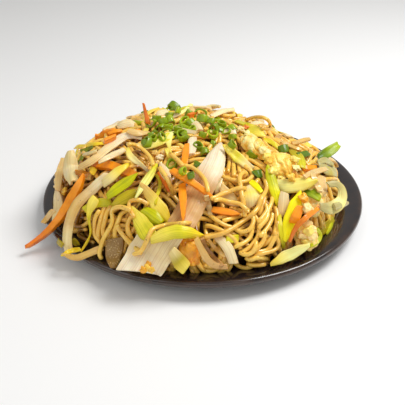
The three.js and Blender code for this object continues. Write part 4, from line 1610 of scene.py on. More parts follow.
    def build(self, palette: Palette) -> list[bpy.types.Object]:
        """Makes the pieces.

        Args:
            palette: dresses them.

        Returns:
            The pieces, each under the limit of triangles.
        """
        pieces = []
        for number, fabric in enumerate(self.fabrics, start=1):
            piece = fabric.build(f"noodles_{number}")
            palette.dress(piece, Finish.NOODLE)
            pieces.append(piece)
        log.info("%d noodles", self.laid)
        return pieces


# ---------------------------------------------------------------- the dish's sub-assemblies


@dataclass
class Plate:
    """The glazed plate, turned from its section."""

    form: PlateForm = field(default_factory=PlateForm)
    hub: float = 0.01
    under_from: float = 0.12
    under_points: int = 9
    lip_points: int = 9
    upper_points: int = 12
    well_radii: tuple[float, ...] = (50.0, 30.0)
    smooth_below: float = 40.0

    def section(self) -> list[tuple[float, float]]:
        """The plate's outline in section.

        Returns:
            Radius and height of its points, from the middle of the foot to the middle of the well.
        """
        form = self.form
        inner = form.rim - form.lip
        ring = form.foot - form.foot_ring
        under = [(self.hub, form.foot_depth), (ring, form.foot_depth), (ring + form.foot_slope, 0.0)]
        under += [(form.foot - form.foot_edge, 0.0), (form.foot, form.foot_edge)]
        for share in np.linspace(self.under_from, 1, self.under_points):
            radius = form.foot + (inner - form.foot) * share
            under.append((radius, max(form.foot_edge, form.top(radius) - form.thickness)))
        low = form.top(inner) - form.thickness
        middle = (form.rim_top + low) / 2
        half = (form.rim_top - low) / 2
        lip = [
            (inner + form.lip * math.cos(angle), middle + half * math.sin(angle))
            for angle in np.linspace(-math.pi / 2, math.pi / 2, self.lip_points)[1:-1]
        ]
        upper = [(radius, form.top(radius)) for radius in np.linspace(inner, form.well, self.upper_points)]
        upper += [(radius, form.well_top) for radius in (*self.well_radii, self.hub)]
        return under + lip + upper

    def build(self, palette: Palette) -> bpy.types.Object:
        """Spins the section round the plate's axis.

        Args:
            palette: dresses the plate.

        Returns:
            The plate.
        """
        mesh = bpy.data.meshes.new("glazed_plate")
        rows = [(radius * MM, 0.0, height * MM) for radius, height in self.section()]
        mesh.from_pydata(rows, [(i, i + 1) for i in range(len(rows) - 1)], [])
        piece = add_piece("glazed_plate", mesh)
        with editing(piece):
            bpy.ops.mesh.spin(steps=self.form.around, angle=2 * math.pi, center=(0, 0, 0), axis=(0, 0, 1))
        face_outwards(piece, weld=2 * self.hub)
        bpy.ops.object.shade_smooth_by_angle(angle=math.radians(self.smooth_below))
        palette.dress(piece, Finish.GLAZE)
        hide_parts("plate")
        return piece


@dataclass
class Core:
    """The dark inside of the heap, painted shade that shows only in the gaps between noodles."""

    inset: float = 8.5
    cover: float = 5.0
    clear: float = 0.3
    equator: float = -0.01
    around: int = 96
    down: int = 48
    # Dark brown painted shade for the gaps between noodles.
    hue: Colour = linear(96, 60, 20)

    def build(self, bare: Pile, palette: Palette) -> bpy.types.Object:
        """Makes a dome inside the mound that stays below the bare heap.

        Args:
            bare: the heap without its noodles.
            palette: dresses the dome.

        Returns:
            The dome.
        """
        bpy.ops.mesh.primitive_uv_sphere_add(segments=self.around, ring_count=self.down, radius=1.0)
        piece = bpy.context.active_object
        piece.name = piece.data.name = "heap_core"
        x, y, z = (corners_of(piece) * MM).T
        wide = np.where(x < 0, MOUND.left, MOUND.right) - self.inset
        deep = np.where(y < 0, MOUND.front, MOUND.back) - self.inset
        flat = np.stack([x * wide, y * deep], axis=1)
        floor = np.array([PLATE.top(radius) + self.clear for radius in np.linalg.norm(flat, axis=1)])
        height = MOUND.skirt + z * (MOUND.height - self.inset)
        shift = MOUND.shift * np.maximum(z, 0) ** 2
        under = z < self.equator
        low = np.where(under, np.minimum(floor, MOUND.skirt), height)
        rows = np.stack([flat[:, 0] + shift, flat[:, 1], low], axis=1) - Pile.PIVOT
        reach = bare.at(Pile.places(rows + Pile.PIVOT)) - self.cover
        share = np.where(under, 1, np.minimum(reach / np.linalg.norm(rows, axis=1), 1))
        move_corners(piece, Pile.PIVOT + rows * share[:, None])
        bpy.ops.object.shade_smooth()
        write_hues(piece.data, np.tile(self.hue, (len(x), 1)))
        palette.dress(piece, Finish.CORE)
        return piece


@dataclass(frozen=True)
class Lump:
    """A lump of egg: its node, how rough it is, its two colours and how far it swells."""

    name: str
    rough: float
    pale: Hue
    deep: Hue
    swell: float = 0.3


@dataclass
class EggLumps:
    """The scrambled egg: each lump of the frame, made finer and given curds."""

    lumps: tuple[Lump, ...] = (
        Lump("egg_upper", 0.5, Hue.EGG, Hue.YOLK),
        Lump("egg_round", 0.34, Hue.CUSTARD, Hue.YOLK),
        Lump("egg_right", 0.5, Hue.EGG, Hue.YOLK, 3.0),
        Lump("egg_low", 0.5, Hue.PEACH, Hue.CUSTARD),
        Lump("egg_front", 0.5, Hue.GOLD, Hue.SOY),
    )
    fineness: int = 3
    weld: float = 1e-5
    fold: float = 6.4
    fold_height: float = 1.6
    bend: float = 5.0
    bend_share: float = 0.8
    curd: float = 2.4
    curd_height: float = 0.5
    crest: float = 0.3
    grain: float = 0.8
    grain_height: float = 0.15
    sink: float = 1.3
    patch: float = 4.0
    patch_range: Range = (0.4, 1.4)
    # Tint of the painted shade in the folds, where the relief sinks below the surface.
    fold_shade: Colour = (1.0, 0.76, 0.4)

    def build(self, nodes: dict[str, bpy.types.Object], palette: Palette) -> None:
        """Makes one piece for each lump.

        Args:
            nodes: the frame's solids.
            palette: dresses the pieces.
        """
        for lump in self.lumps:
            piece = add_piece(f"{lump.name}_curds", nodes[lump.name].data.copy())
            with editing(piece):
                bpy.ops.mesh.remove_doubles(threshold=self.weld)
            finish_with(piece, "SUBSURF", levels=self.fineness, render_levels=self.fineness)
            relief = np.array([self.relief(p) for p in corners_of(piece)])
            shift = lump.swell + lump.rough * relief
            move_corners(piece, corners_of(piece) + normals_of(piece) * shift[:, None])
            bpy.ops.object.shade_smooth()
            self.colour(piece, relief, lump)
            palette.dress(piece, Finish.EGG)
            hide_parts(lump.name)

    def relief(self, place: np.ndarray) -> float:
        """Folds, curds on them, and grain on those.

        Args:
            place: a point of the surface.

        Returns:
            How far it stands out, in millimetres.
        """
        bend = self.bend_share * noise.noise(Vector(place / self.bend))
        folds = abs(noise.noise(Vector(place / self.fold + bend)))
        curds = abs(noise.noise(Vector(place / self.curd) + Vector((9, 0, 0))))
        grain = noise.noise(Vector(place / self.grain))
        height = self.fold_height * min(folds / self.crest, 1.0)
        height += self.curd_height * min(curds / self.crest, 1.0)
        return height + self.grain_height * grain - self.sink

    def colour(self, piece: bpy.types.Object, relief: np.ndarray, lump: Lump) -> None:
        """Mixes the white and the yolk in soft patches, with painted shade that darkens the folds.

        Args:
            piece: takes the colours.
            relief: how far each vertex stands out.
            lump: which lump it is.
        """
        base, gain = self.patch_range
        share = np.array([noise.noise(Vector(p / self.patch)) for p in corners_of(piece)])
        share = smoothstep(base + gain * share)[:, None]
        rows = np.array(lump.pale.value) * (1 - share) + np.array(lump.deep.value) * share
        rows *= 1 - smoothstep(-relief)[:, None] * (1 - np.array(self.fold_shade))
        write_hues(piece.data, rows)


class Toppings:
    """The strips that are nodes of the frame, each made again in fine."""

    def build(self, nodes: dict[str, bpy.types.Object], palette: Palette) -> None:
        """Makes one piece for each strip.

        Args:
            nodes: the frame's solids.
            palette: dresses the pieces.
        """
        for topping in STRIPS:
            line = MAKER.on_solid(topping, Solids(nodes, [topping.name]))
            fabric = Fabric()
            MAKER.sheet(topping, line, fabric)
            piece = fabric.build(f"{topping.name}_piece")
            MAKER.thicken(piece, topping.kind, topping.value("thickness"))
            palette.dress(piece, topping.kind.value.finish)
            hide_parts(topping.name)


class Draws:
    """Repeatable numbers from 0 to 1."""

    def __init__(self, state: int) -> None:
        """Starts from a state."""
        self.state = state

    def __call__(self) -> float:
        """The next number."""
        self.state = (self.state * 1664525 + 1013904223) % 2**32
        return self.state / 2**32


@dataclass(frozen=True)
class Scatter:
    """Small toppings strewn over the back of the heap, on the map of directions.

    The skipped draws are those that the solid heap's noodles take before its toppings.
    """

    count: int = 8
    nearest: float = 25.0
    farthest: float = 70.0
    length: int = 17
    bend: float = 0.02
    unrest: float = 0.3
    margin: float = 4.0
    seed: int = 7
    skipped: int = 13 * 62 + 24 * 2
    kinds: tuple[str, ...] = ("onion", "leek", "leaf", "leek", "onion", "green", "leaf", "carrot")

    def lines(self, ground: Pile) -> list[tuple[Topping, np.ndarray]]:
        """Strews the toppings.

        Args:
            ground: the pile that they lie on.

        Returns:
            Each topping with its middle line.
        """
        draws = Draws(self.seed)
        for _ in range(self.skipped):
            draws()
        found = []
        for k in range(self.count):
            angle = math.pi * (k + 0.5) / self.count
            away = self.nearest + (self.farthest - self.nearest) * draws()
            place = away * level_way(angle)
            heading = 2 * math.pi * draws()
            turn = self.bend * (2 * draws() - 1)
            places = []
            for _ in range(self.length):
                places.append(place)
                turn += self.unrest * self.bend * (draws() - 0.5)
                heading += turn
                place = place + level_way(heading)
            topping = replace(BACK_KINDS[self.kinds[k % len(self.kinds)]], name=f"strewn_{self.seed}_{k}")
            near = [place for place in places if np.linalg.norm(place) < Tangle.foot(place) - self.margin]
            rows = np.array(near)
            if len(rows) < STRAND.shortest:
                continue
            reach = evened(ground.at(rows)[:, None], 6)[:, 0] + topping.value("thickness") / 2
            found.append((topping, Pile.points(rows, reach)))
        return found


@dataclass(frozen=True)
class Garnish:
    """The small toppings that are joined to the heap, and the slivers between them."""

    near: Scatter = Scatter()
    far: Scatter = Scatter(
        count=17, nearest=63.0, farthest=79.0, seed=31, skipped=0,
        kinds=("onion", "leek", "leaf", "leek", "green", "onion", "leaf", "carrot", "leek", "carrot"),
    )

    def build(self, nodes: dict[str, bpy.types.Object], full: Pile, palette: Palette) -> None:
        """Makes one piece for each kind and thickness.

        Args:
            nodes: the frame's solids.
            full: the pile with noodles and toppings.
            palette: dresses the pieces.
        """
        heap = Solids(nodes, ["noodle_heap"])
        lines = [(topping, MAKER.on_solid(topping, heap)) for topping in SMALL]
        lines += [(topping, MAKER.on_pile(topping, full)) for topping in SLIVERS]
        lines += self.near.lines(full) + self.far.lines(full)
        groups: dict[tuple[Kind, float], Fabric] = {}
        for topping, line in lines:
            key = (topping.kind, topping.value("thickness"))
            MAKER.sheet(topping, line, groups.setdefault(key, Fabric()))
        for (kind, thickness), fabric in groups.items():
            piece = fabric.build(f"small_{kind.name.lower()}_{round(10 * thickness)}")
            MAKER.thicken(piece, kind, thickness)
            palette.dress(piece, kind.value.finish)


@dataclass(frozen=True)
class RingCut:
    """A slice of spring onion: where it lies, how wide and long it is, how it leans, and its colour."""

    place: Range
    size: float
    length: float
    lean: float
    squash: float
    dark: float


@dataclass(frozen=True)
class SpringOnion:
    """The cut spring onion, modelled once and copied to each place."""

    seed: int = 12
    strewn: int = 16
    strewn_arc: Range = (0.28, 0.72)
    strewn_ring: Range = (60, 79)
    sizes: Range = (3.6, 5.4)
    lengths: Range = (1.8, 3.4)
    darks: Range = (0.0, 0.8)
    sunk: float = 0.4
    scale: float = 0.92
    around: int = 20
    wall: float = 0.18
    edge: float = 0.03
    lean: float = 1.5
    skew: float = 0.1
    lobes: float = 0.09
    lobe_count: int = 3
    grain_step: float = 3.7
    inner: Range = (0.49, 0.14)
    inside: Colour = linear(206, 216, 96)
    inside_share: float = 0.55

    def model(self) -> tuple[np.ndarray, np.ndarray]:
        """Models one slice of unit width and length.

        Returns:
            Its vertices and its four-cornered faces.
        """
        bpy.ops.object.select_all(action="DESELECT")
        bpy.ops.mesh.primitive_circle_add(vertices=self.around, radius=0.5 * MM)
        piece = bpy.context.active_object
        with editing(piece):
            for _ in range(2):
                bpy.ops.mesh.extrude_region_move(TRANSFORM_OT_translate={"value": (0, 0, 0.5 * MM)})
        finish_with(piece, "SOLIDIFY", thickness=self.wall * MM, offset=-1.0)
        face_outwards(piece)
        round_edges(piece, self.edge)
        vertices, faces = corners_of(piece), quads_of(piece)
        bpy.data.objects.remove(piece)
        return vertices, faces

    def spots(self, full: Pile, random: np.random.Generator) -> list[tuple[RingCut, np.ndarray]]:
        """Finds where the slices lie.

        Args:
            full: the pile with noodles and toppings.
            random: draws the strewn ones.

        Returns:
            Each slice with its place in space.
        """
        found = []
        for cut in RINGS:
            x, y = cut.place
            found.append((cut, full.spot(x, y + self.sunk * cut.length * UNITS_PER_MM, self.sunk)))
        for _ in range(self.strewn):
            angle = random.uniform(*self.strewn_arc) * math.pi
            place = random.uniform(*self.strewn_ring) * level_way(angle)
            size, length = random.uniform(*self.sizes), random.uniform(*self.lengths)
            cut = RingCut((0, 0), size, length, 0.5, 0.8, random.uniform(*self.darks))
            found.append((cut, Pile.points(place, full.at(place) + self.sunk)))
        return found

    def hues(self, cut: RingCut, vertices: np.ndarray) -> np.ndarray:
        """Colours of a slice, paler inside.

        Args:
            cut: the slice.
            vertices: the model's vertices.

        Returns:
            Rows of linear colours.
        """
        start, width = self.inner
        inside = smoothstep((start - np.linalg.norm(vertices[:, :2], axis=1)) / width)[:, None]
        shade = np.array(Hue.GRASS.value) * (1 - cut.dark) + np.array(Hue.FERN.value) * cut.dark
        pale = (1 - self.inside_share) * shade + self.inside_share * np.array(self.inside)
        return shade * (1 - inside) + pale * inside

    def build(self, full: Pile, palette: Palette) -> bpy.types.Object:
        """Lays all slices on the pile.

        Args:
            full: the pile with noodles and toppings.
            palette: dresses the piece.

        Returns:
            The piece.
        """
        vertices, faces = self.model()
        random = np.random.default_rng(self.seed)
        fabric = Fabric()
        angle = np.arctan2(vertices[:, 1], vertices[:, 0])
        for number, (cut, spot) in enumerate(self.spots(full, random)):
            lean = random.normal(0, self.lean * cut.lean, 3)
            axis = unit((MOUND.outward(spot[None])[0] + lean)[None])[0]
            first = unit(np.cross(axis, random.normal(0, 1, 3))[None])[0]
            second = np.cross(axis, first)
            local = vertices * [self.scale * cut.size, self.scale * cut.size * cut.squash, cut.length]
            local[:, 2] += self.skew * cut.size * np.sin(angle + number) * vertices[:, 2]
            local[:, :2] *= 1 + self.lobes * np.sin(self.lobe_count * angle + 2.0 * number)[:, None]
            place = spot + np.outer(local[:, 0], first) + np.outer(local[:, 1], second)
            place = place + np.outer(local[:, 2] - self.sunk, axis)
            own = np.full(len(local), self.grain_step * number)
            grain = np.stack([local[:, 2], angle * cut.size / 2, own], axis=1)
            fabric.add(place, faces, grain, self.hues(cut, vertices))
        piece = fabric.build("spring_onion")
        face_outwards(piece)
        palette.dress(piece, Finish.ONION_RING)
        return piece


@dataclass(frozen=True)
class Crumbs:
    """Loose curds of egg and crumbs of batter."""

    flat: float = 0.4
    sunk: float = 0.3
    uneven: float = 0.7
    bumps: float = 1.5
    offset: float = 3.1

    def build(self, full: Pile, palette: Palette) -> bpy.types.Object:
        """Lays all crumbs on the pile.

        Args:
            full: the pile with noodles and toppings.
            palette: dresses the piece.

        Returns:
            The piece.
        """
        bpy.ops.mesh.primitive_ico_sphere_add(subdivisions=3, radius=1.0 * MM)
        ball = bpy.context.active_object
        vertices, faces = corners_of(ball), quads_of(ball)
        bpy.data.objects.remove(ball)
        fabric = Fabric()
        for number, (x, y, size, hue) in enumerate(CRUMBS):
            spot = full.spot(x, y, self.sunk * size)
            offset = Vector((number * self.offset, 0, 0))
            bumps = np.array([noise.noise(Vector(self.bumps * v) + offset) for v in vertices])
            local = vertices * ((1 + self.uneven * bumps) * size / 2)[:, None]
            outward = MOUND.outward(spot[None])
            local -= self.flat * (local @ outward.T) * outward
            fabric.add(spot + local, faces, local, np.tile(hue.value, (len(local), 1)))
        piece = fabric.build("crumbs")
        palette.dress(piece, Finish.EGG)
        return piece


@dataclass(frozen=True)
class Lamp:
    """A soft square light that faces the dish."""

    name: str
    place: tuple[float, float, float]
    size: float
    power: float

    def build(self) -> None:
        """Hangs the light."""
        light = bpy.data.lights.new(self.name, "AREA")
        light.size = self.size
        light.energy = self.power
        lamp = bpy.data.objects.new(self.name, light)
        lamp.location = self.place
        lamp.rotation_euler = Vector(self.place).to_track_quat("Z", "Y").to_euler()
        bpy.context.scene.collection.objects.link(lamp)


@dataclass(frozen=True)
class Studio:
    """Camera, floor and lights, in metres."""

    lens: float = 60.0
    sensor: float = 36.0
    nearest: float = 0.01
    floor_size: float = 6.0
    floor_colour: Colour = (0.9, 0.9, 0.895)
    floor_roughness: float = 0.85
    sky: Colour = (1.0, 0.985, 0.96)
    sky_power: float = 0.38
    lamps: tuple[Lamp, ...] = (
        Lamp("key", (0.32, 0.04, 0.55), 0.3, 3.3),
        Lamp("fill", (-0.45, -0.35, 0.5), 0.5, 0.8),
        Lamp("front", (0.1, -0.7, 0.4), 0.5, 0.6),
    )

    def build(self) -> None:
        """Sets the stage up."""
        camera = bpy.data.objects.new("camera", bpy.data.cameras.new("camera"))
        camera.data.lens = self.lens
        camera.data.sensor_width = self.sensor
        camera.data.clip_start = self.nearest
        camera.location = Vector(SEAT.eye() * MM)
        camera.rotation_euler = (math.radians(90 - SEAT.elevation), 0, 0)
        bpy.context.scene.collection.objects.link(camera)
        bpy.context.scene.camera = camera
        self.floor()
        for lamp in self.lamps:
            lamp.build()
        bpy.context.scene.view_settings.view_transform = "Standard"
        world = bpy.data.worlds.new("world")
        world.use_nodes = True
        colour, power = world.node_tree.nodes["Background"].inputs[:2]
        colour.default_value = (*self.sky, 1.0)
        power.default_value = self.sky_power
        bpy.context.scene.world = world

    def floor(self) -> None:
        """Lays a wide pale floor."""
        bpy.ops.mesh.primitive_plane_add(size=self.floor_size, location=(0, 0, 0))
        floor = bpy.context.active_object
        floor.name = "floor"
        recipe = Recipe("pale_floor")
        recipe.shine(Base_Color=(*self.floor_colour, 1.0), Roughness=self.floor_roughness)
        floor.data.materials.append(recipe.material)


# ---------------------------------------------------------------- what lies where

STRIPS = (
    # left flank
    Topping("left_wide_strip", Kind.ONION, 5.4, ((57, 191), (57, 206), (54, 222)), (Hue.CREAM, Hue.STRAW),
            (0.5, 1, 1, 0.9, 0.6), keel=0.4),
    Topping("left_upright_strip", Kind.ONION, 4.4, ((63, 157), (59, 174), (57, 190)), (Hue.HONEY,)),
    Topping("left_folded_leek", Kind.LEEK, 8.6, ((70, 151), (70, 166), (73, 182)),
            (Hue.STRAW, Hue.CREAM, Hue.STRAW), (0.35, 0.85, 1, 0.9, 0.35), keel=1.6),
    Topping("left_carrot_band", Kind.CARROT, 4.2, ((92, 164), (112, 165), (122, 169), (135, 175)),
            profile=(0.5, 0.9, 1, 1, 0.9)),
    Topping("long_pale_strip", Kind.LEEK, 5, ((142, 137), (125, 135), (110, 145), (95, 157), (78, 167)),
            (Hue.IVORY, Hue.CREAM, Hue.HONEY), (0.2, 0.9, 1, 0.9, 0.8, 0.5)),
    Topping("second_pale_strip", Kind.ONION, 4, ((125, 148), (110, 156), (98, 162)), (Hue.SHELL,),
            (0.7, 1, 0.9, 0.4), thickness=1.2),
    Topping("long_front_carrot", Kind.CARROT, 4.6,
            ((83, 173), (74, 192), (64, 208), (56, 221), (43, 234), (25, 247)),
            (Hue.CARROT, Hue.CARROT, Hue.RUST), (0.15, 0.8, 1, 0.95, 0.85, 0.7, 0.6, 0.45, 0.4),
            thickness=3.4),
    Topping("big_curved_stalk", Kind.ONION, 4.9,
            ((108, 173), (92, 188), (76, 204), (68, 222), (66, 240), (68, 253)),
            (Hue.CREAM, Hue.HONEY, Hue.TAN, Hue.HONEY, Hue.STRAW), (0.8, 1, 1, 0.95, 0.95, 0.8),
            thickness=2.4, cup=0.7),
    Topping("base_leaf", Kind.GREEN, 4.6, ((83, 210), (95, 203), (112, 203)), (Hue.CITRON,)),
    Topping("yellow_petal", Kind.LEAF, 5, ((131, 162), (118, 171), (102, 184)),
            (Hue.YELLOW, Hue.BUTTER, Hue.STRAW), (0.05, 0.6, 1, 1, 0.8), thickness=1.3, keel=0.9),
    Topping("left_green_leaf", Kind.GREEN, 5.8, ((138, 172), (124, 183), (106, 197)),
            profile=(0.06, 0.7, 1, 0.95, 0.5), keel=-0.8),
    Topping("left_olive_leaf", Kind.GREEN, 6.6, ((137, 190), (125, 197), (111, 205)), (Hue.OLIVE,),
            (0.5, 0.9, 1, 0.8, 0.3), cup=0.9),
    Topping("hanging_ribbon", Kind.LEAF, 5.8,
            ((96, 197), (92, 203), (88.5, 211), (88, 220), (89.8, 228), (89.5, 236), (86, 243), (80, 252)),
            (Hue.BUTTER, Hue.CITRON, Hue.YELLOW), (0.8, 1, 0.4, 0.16, 0.14, 0.14, 0.14, 0.1), keel=-0.6),
    Topping("bottom_left_strip", Kind.ONION, 3.2, ((61, 254), (75, 258), (90, 253), (103, 247)),
            profile=(0.15, 0.8, 1, 1, 0.9)),
    # crown, left half
    Topping("upright_carrot", Kind.CARROT, 2.6,
            ((148, 124), (147, 118, 2), (145, 111, 6), (143.5, 103, 10)), (Hue.RUST,), (1, 0.9, 0.6, 0.5),
            thickness=2.2),
    # middle
    Topping("yellow_ribbon", Kind.LEAF, 4.8, ((126, 143), (143, 147), (158, 144), (172, 135)),
            (Hue.STRAW, Hue.CITRON), (0.3, 0.8, 0.9, 1, 1), keel=-0.6, lift=(0.2, 1.4, 1.6, 1.2)),
    Topping("twist_strip", Kind.LEAF, 3.6, ((127, 147), (131, 157), (141, 164), (150, 172)),
            (Hue.BUTTER, Hue.CREAM), (0.3, 1, 1, 0.5, 0.4), twist=(-20, 50)),
    Topping("centre_carrot", Kind.CARROT, 2.8, ((158, 171), (164, 180), (169, 192)), (Hue.RUST,),
            (0.8, 1, 0.9, 0.3), thickness=2.4),
    Topping("long_leaf", Kind.GREEN, 4, ((157, 163), (150, 177), (143, 189), (136, 200)),
            (Hue.CITRON, Hue.PALE), (0.3, 0.8, 1, 1, 0.15), keel=0.5, lift=(0, 0.5, 2.2, 3, 2.4)),
    Topping("broad_yellow_strip", Kind.LEAF, 6.8, ((140, 182), (150, 195), (160, 208), (172, 225)),
            (Hue.TAN, Hue.BUTTER, Hue.YELLOW), (0.1, 0.55, 0.75, 0.95, 1, 0.6, 0.08), thickness=1.2,
            keel=0.3, ruffle=0.7),
    Topping("speckled_petal", Kind.LEEK, 4.6, ((160, 162), (166, 174), (171, 184)), (Hue.CREAM,),
            (0.1, 1, 0.9, 0.15), thickness=1.2, slant=0.0),
    Topping("lime_petal", Kind.GREEN, 6.6, ((142, 209), (151, 215), (162, 223)), profile=(0.6, 1, 1, 0.5),
            cup=0.8),
    Topping("pale_leek", Kind.LEAF, 7.6, ((220, 190), (229, 198), (240, 205)), (Hue.HONEY, Hue.STRAW),
            (0.9, 1, 0.8, 0.15), slant=0.7),
    Topping("white_leek", Kind.LEEK, 12, ((221, 141), (213, 164), (199, 190), (187, 213), (178, 227)),
            (Hue.IVORY, Hue.IVORY, Hue.BUFF, Hue.BUFF), (0.12, 0.5, 0.78, 0.9, 0.97, 1, 1, 0.9),
            thickness=2.2, cup=1.3, slant=0.1),
    Topping("upper_carrot", Kind.CARROT, 3.3, ((187, 143), (185, 156), (184, 168)),
            profile=(0.7, 1, 1, 0.9)),
    Topping("middle_carrot", Kind.CARROT, 3.6, ((182, 183), (183, 203), (183, 222)),
            profile=(0.9, 1, 0.9, 0.7, 0.2)),
    Topping("crossing_carrot", Kind.CARROT, 3.4, ((171, 169), (190, 180), (205, 191), (216, 199)),
            profile=(0.85, 1, 0.9, 0.75, 0.35), thickness=2.2),
    Topping("yellow_diagonal", Kind.LEAF, 5.6, ((223, 143), (236, 157), (252, 170)),
            (Hue.BUTTER, Hue.CITRON, Hue.STRAW), (0.08, 0.85, 1, 0.9, 0.6), thickness=1.3, keel=-0.7,
            lift=(0.3, 1, 1.6, 2)),
    Topping("leek_bowl", Kind.LEEK, 9.6, ((248, 186), (251, 196), (252, 207)),
            (Hue.STRAW, Hue.BUTTER, Hue.STRAW), (0.8, 1, 1, 0.5), thickness=1.5, cup=-0.4, keel=1.2,
            slant=0.5),
    Topping("middle_short_carrot", Kind.CARROT, 3.4, ((212, 209), (226, 211), (241, 214)),
            profile=(0.7, 0.9, 1, 0.7, 0.1)),
    # front
    Topping("brown_strip", Kind.BROWN, 8.4, ((115, 238), (113, 254), (112, 268)),
            profile=(0.9, 1, 1, 0.9, 0.65, 0.2), ruffle=0.5),
    Topping("front_white_leek", Kind.LEEK, 19, ((160, 236), (149, 254), (139, 271)),
            (Hue.CREAM, Hue.CREAM, Hue.IVORY), (0.9, 1, 1, 0.95), thickness=2.2, cup=1.8, slant=-0.5),
    Topping("front_yellow_strip", Kind.LEAF, 6.8, ((171, 250), (179, 261), (187, 270)),
            (Hue.STRAW, Hue.OLIVE, Hue.BUTTER), (0.6, 0.9, 1, 0.9), keel=0.6),
    Topping("front_leaf_left", Kind.GREEN, 8.2, ((131, 206), (140, 221), (151, 239)),
            (Hue.BUTTER, Hue.CITRON), (0.15, 0.45, 0.8, 1, 1, 0.8), keel=0.5),
    Topping("front_leaf_right", Kind.GREEN, 6.6, ((150, 240), (175, 231), (205, 235)),
            (Hue.BUTTER, Hue.CITRON, Hue.YELLOW), (0.5, 0.9, 1, 0.9, 0.6, 0.05), cup=1.0),
    Topping("front_pale_strip", Kind.LEEK, 4.6, ((217, 236), (228, 248), (234, 264)), (Hue.CREAM,),
            (0.8, 1, 1, 0.9), thickness=1.3),
    Topping("front_flat_strip", Kind.ONION, 3.2, ((196, 238), (205, 256), (215, 266), (228, 267)),
            (Hue.TAN, Hue.BUFF)),
    # right flank
    Topping("back_cabbage", Kind.GREEN, 7.4, ((242, 128), (253, 130), (265, 132)), (Hue.CITRON, Hue.BUTTER),
            ruffle=1.0),
    Topping("right_green_leaf", Kind.GREEN, 5.8, ((339, 144), (330, 151), (318, 158)),
            (Hue.GRASS, Hue.FERN), (0.6, 1, 1, 0.7), cup=-0.8),
    Topping("right_back_leaf", Kind.GREEN, 6.2, ((291, 149), (299, 157), (303, 168)),
            (Hue.OLIVE, Hue.CITRON), (0.5, 1, 1, 0.5), keel=0.6),
    Topping("right_cabbage", Kind.LEAF, 7.4, ((319, 165), (329, 168), (338, 172)),
            (Hue.MIST, Hue.OLIVE, Hue.MIST), cup=0.8, ruffle=1.0),
    Topping("right_tan_strip", Kind.ONION, 6.4, ((321, 175), (322, 185), (322, 196)), (Hue.HONEY,),
            cup=0.6),
    Topping("right_low_leaf", Kind.GREEN, 5.6, ((303, 187), (312, 192), (321, 199)), (Hue.FERN, Hue.GRASS),
            (0.4, 1, 1, 0.5)),
    Topping("yellow_lens", Kind.LEAF, 7.6, ((274, 184), (296, 184), (318, 179)), (Hue.PALE, Hue.BUTTER),
            (0.7, 1, 1, 0.95, 0.7, 0.05), cup=1.2, thickness=1.6),
    Topping("lime_strip", Kind.GREEN, 5.4, ((267, 165), (272, 183), (279, 206)),
            (Hue.LIME, Hue.LIME, Hue.LEMON), (0.15, 0.9, 1, 0.9, 0.4), keel=0.6, lift=(0.4, 1.2, 1, 0.4)),
    Topping("white_baton", Kind.LEEK, 4.8, ((285, 192), (284, 205), (283, 218)), (Hue.CREAM, Hue.HONEY),
            (0.7, 1, 1, 0.8), thickness=2.4),
    Topping("big_yellow_leaf", Kind.LEAF, 7, ((301, 190), (293, 214), (285, 242)), (Hue.LEMON,),
            (0.05, 0.6, 0.95, 1, 0.95, 0.7, 0.2), cup=0.8),
    Topping("right_carrot_block", Kind.CARROT, 4.2, ((300, 206), (297, 215), (294, 223)),
            profile=(0.7, 1, 1, 0.9)),
    Topping("curved_carrot", Kind.CARROT, 2.9, ((323, 205), (309, 215), (296, 228), (290, 243)),
            (Hue.CARROT, Hue.RUST), (0.4, 0.8, 0.85, 0.85, 0.4), thickness=2.2),
    Topping("leek_curl", Kind.LEEK, 6.6,
            ((320, 206), (331, 208), (341, 202), (343, 191), (338, 183), (329, 184)),
            (Hue.MIST, Hue.PALE, Hue.MIST), (0.5, 0.95, 1, 0.7, 0.5, 0.45), thickness=1.1, facing=0.6),
    Topping("bottom_right_leek", Kind.LEAF, 5.8, ((270, 265), (290, 255), (310, 245)),
            (Hue.BUTTER, Hue.PALE, Hue.PALE), (0.3, 0.9, 1, 0.9, 0.25), keel=0.3, facing=0.2),
)

SMALL = (
    Topping("left_tan_fold", Kind.ONION, 4.4, ((73, 171), (82, 174), (91, 177))),
    Topping("top_left_leaf", Kind.LEAF, 3, ((74, 147), (90, 144), (104, 143)), (Hue.YELLOW,)),
    Topping("green_sliver", Kind.GREEN, 2.4, ((86, 149), (82, 157), (77, 165)), (Hue.MOSS,)),
    Topping("onion_block", Kind.LEEK, 5, ((117, 125), (126, 122), (136, 122)), (Hue.CREAM,), thickness=3),
    Topping("pale_lump", Kind.LEEK, 5.2, ((156, 114), (162, 111), (168, 110)), (Hue.CREAM,), thickness=3),
    Topping("centre_baton", Kind.ONION, 2.8, ((222, 172), (219, 183), (216, 194)), (Hue.STRAW,),
            thickness=2.4),
    Topping("crown_carrot_left", Kind.CARROT, 2.2, ((108, 133), (115, 131), (122, 130))),
    Topping("crown_carrot_right", Kind.CARROT, 2.4, ((127, 132), (134, 131), (141, 130))),
    Topping("short_yellow", Kind.LEAF, 3.2, ((148, 125), (145, 131), (143, 137))),
    Topping("leaf_arc", Kind.LEAF, 2.8, ((260, 138), (272, 142), (281, 149)), (Hue.CITRON,)),
    Topping("right_carrot", Kind.CARROT, 2.8, ((302, 168), (310, 167), (318, 167))),
    Topping("low_green", Kind.GREEN, 3.6, ((316, 230), (318, 235), (319, 240)), (Hue.CITRON,)),
)

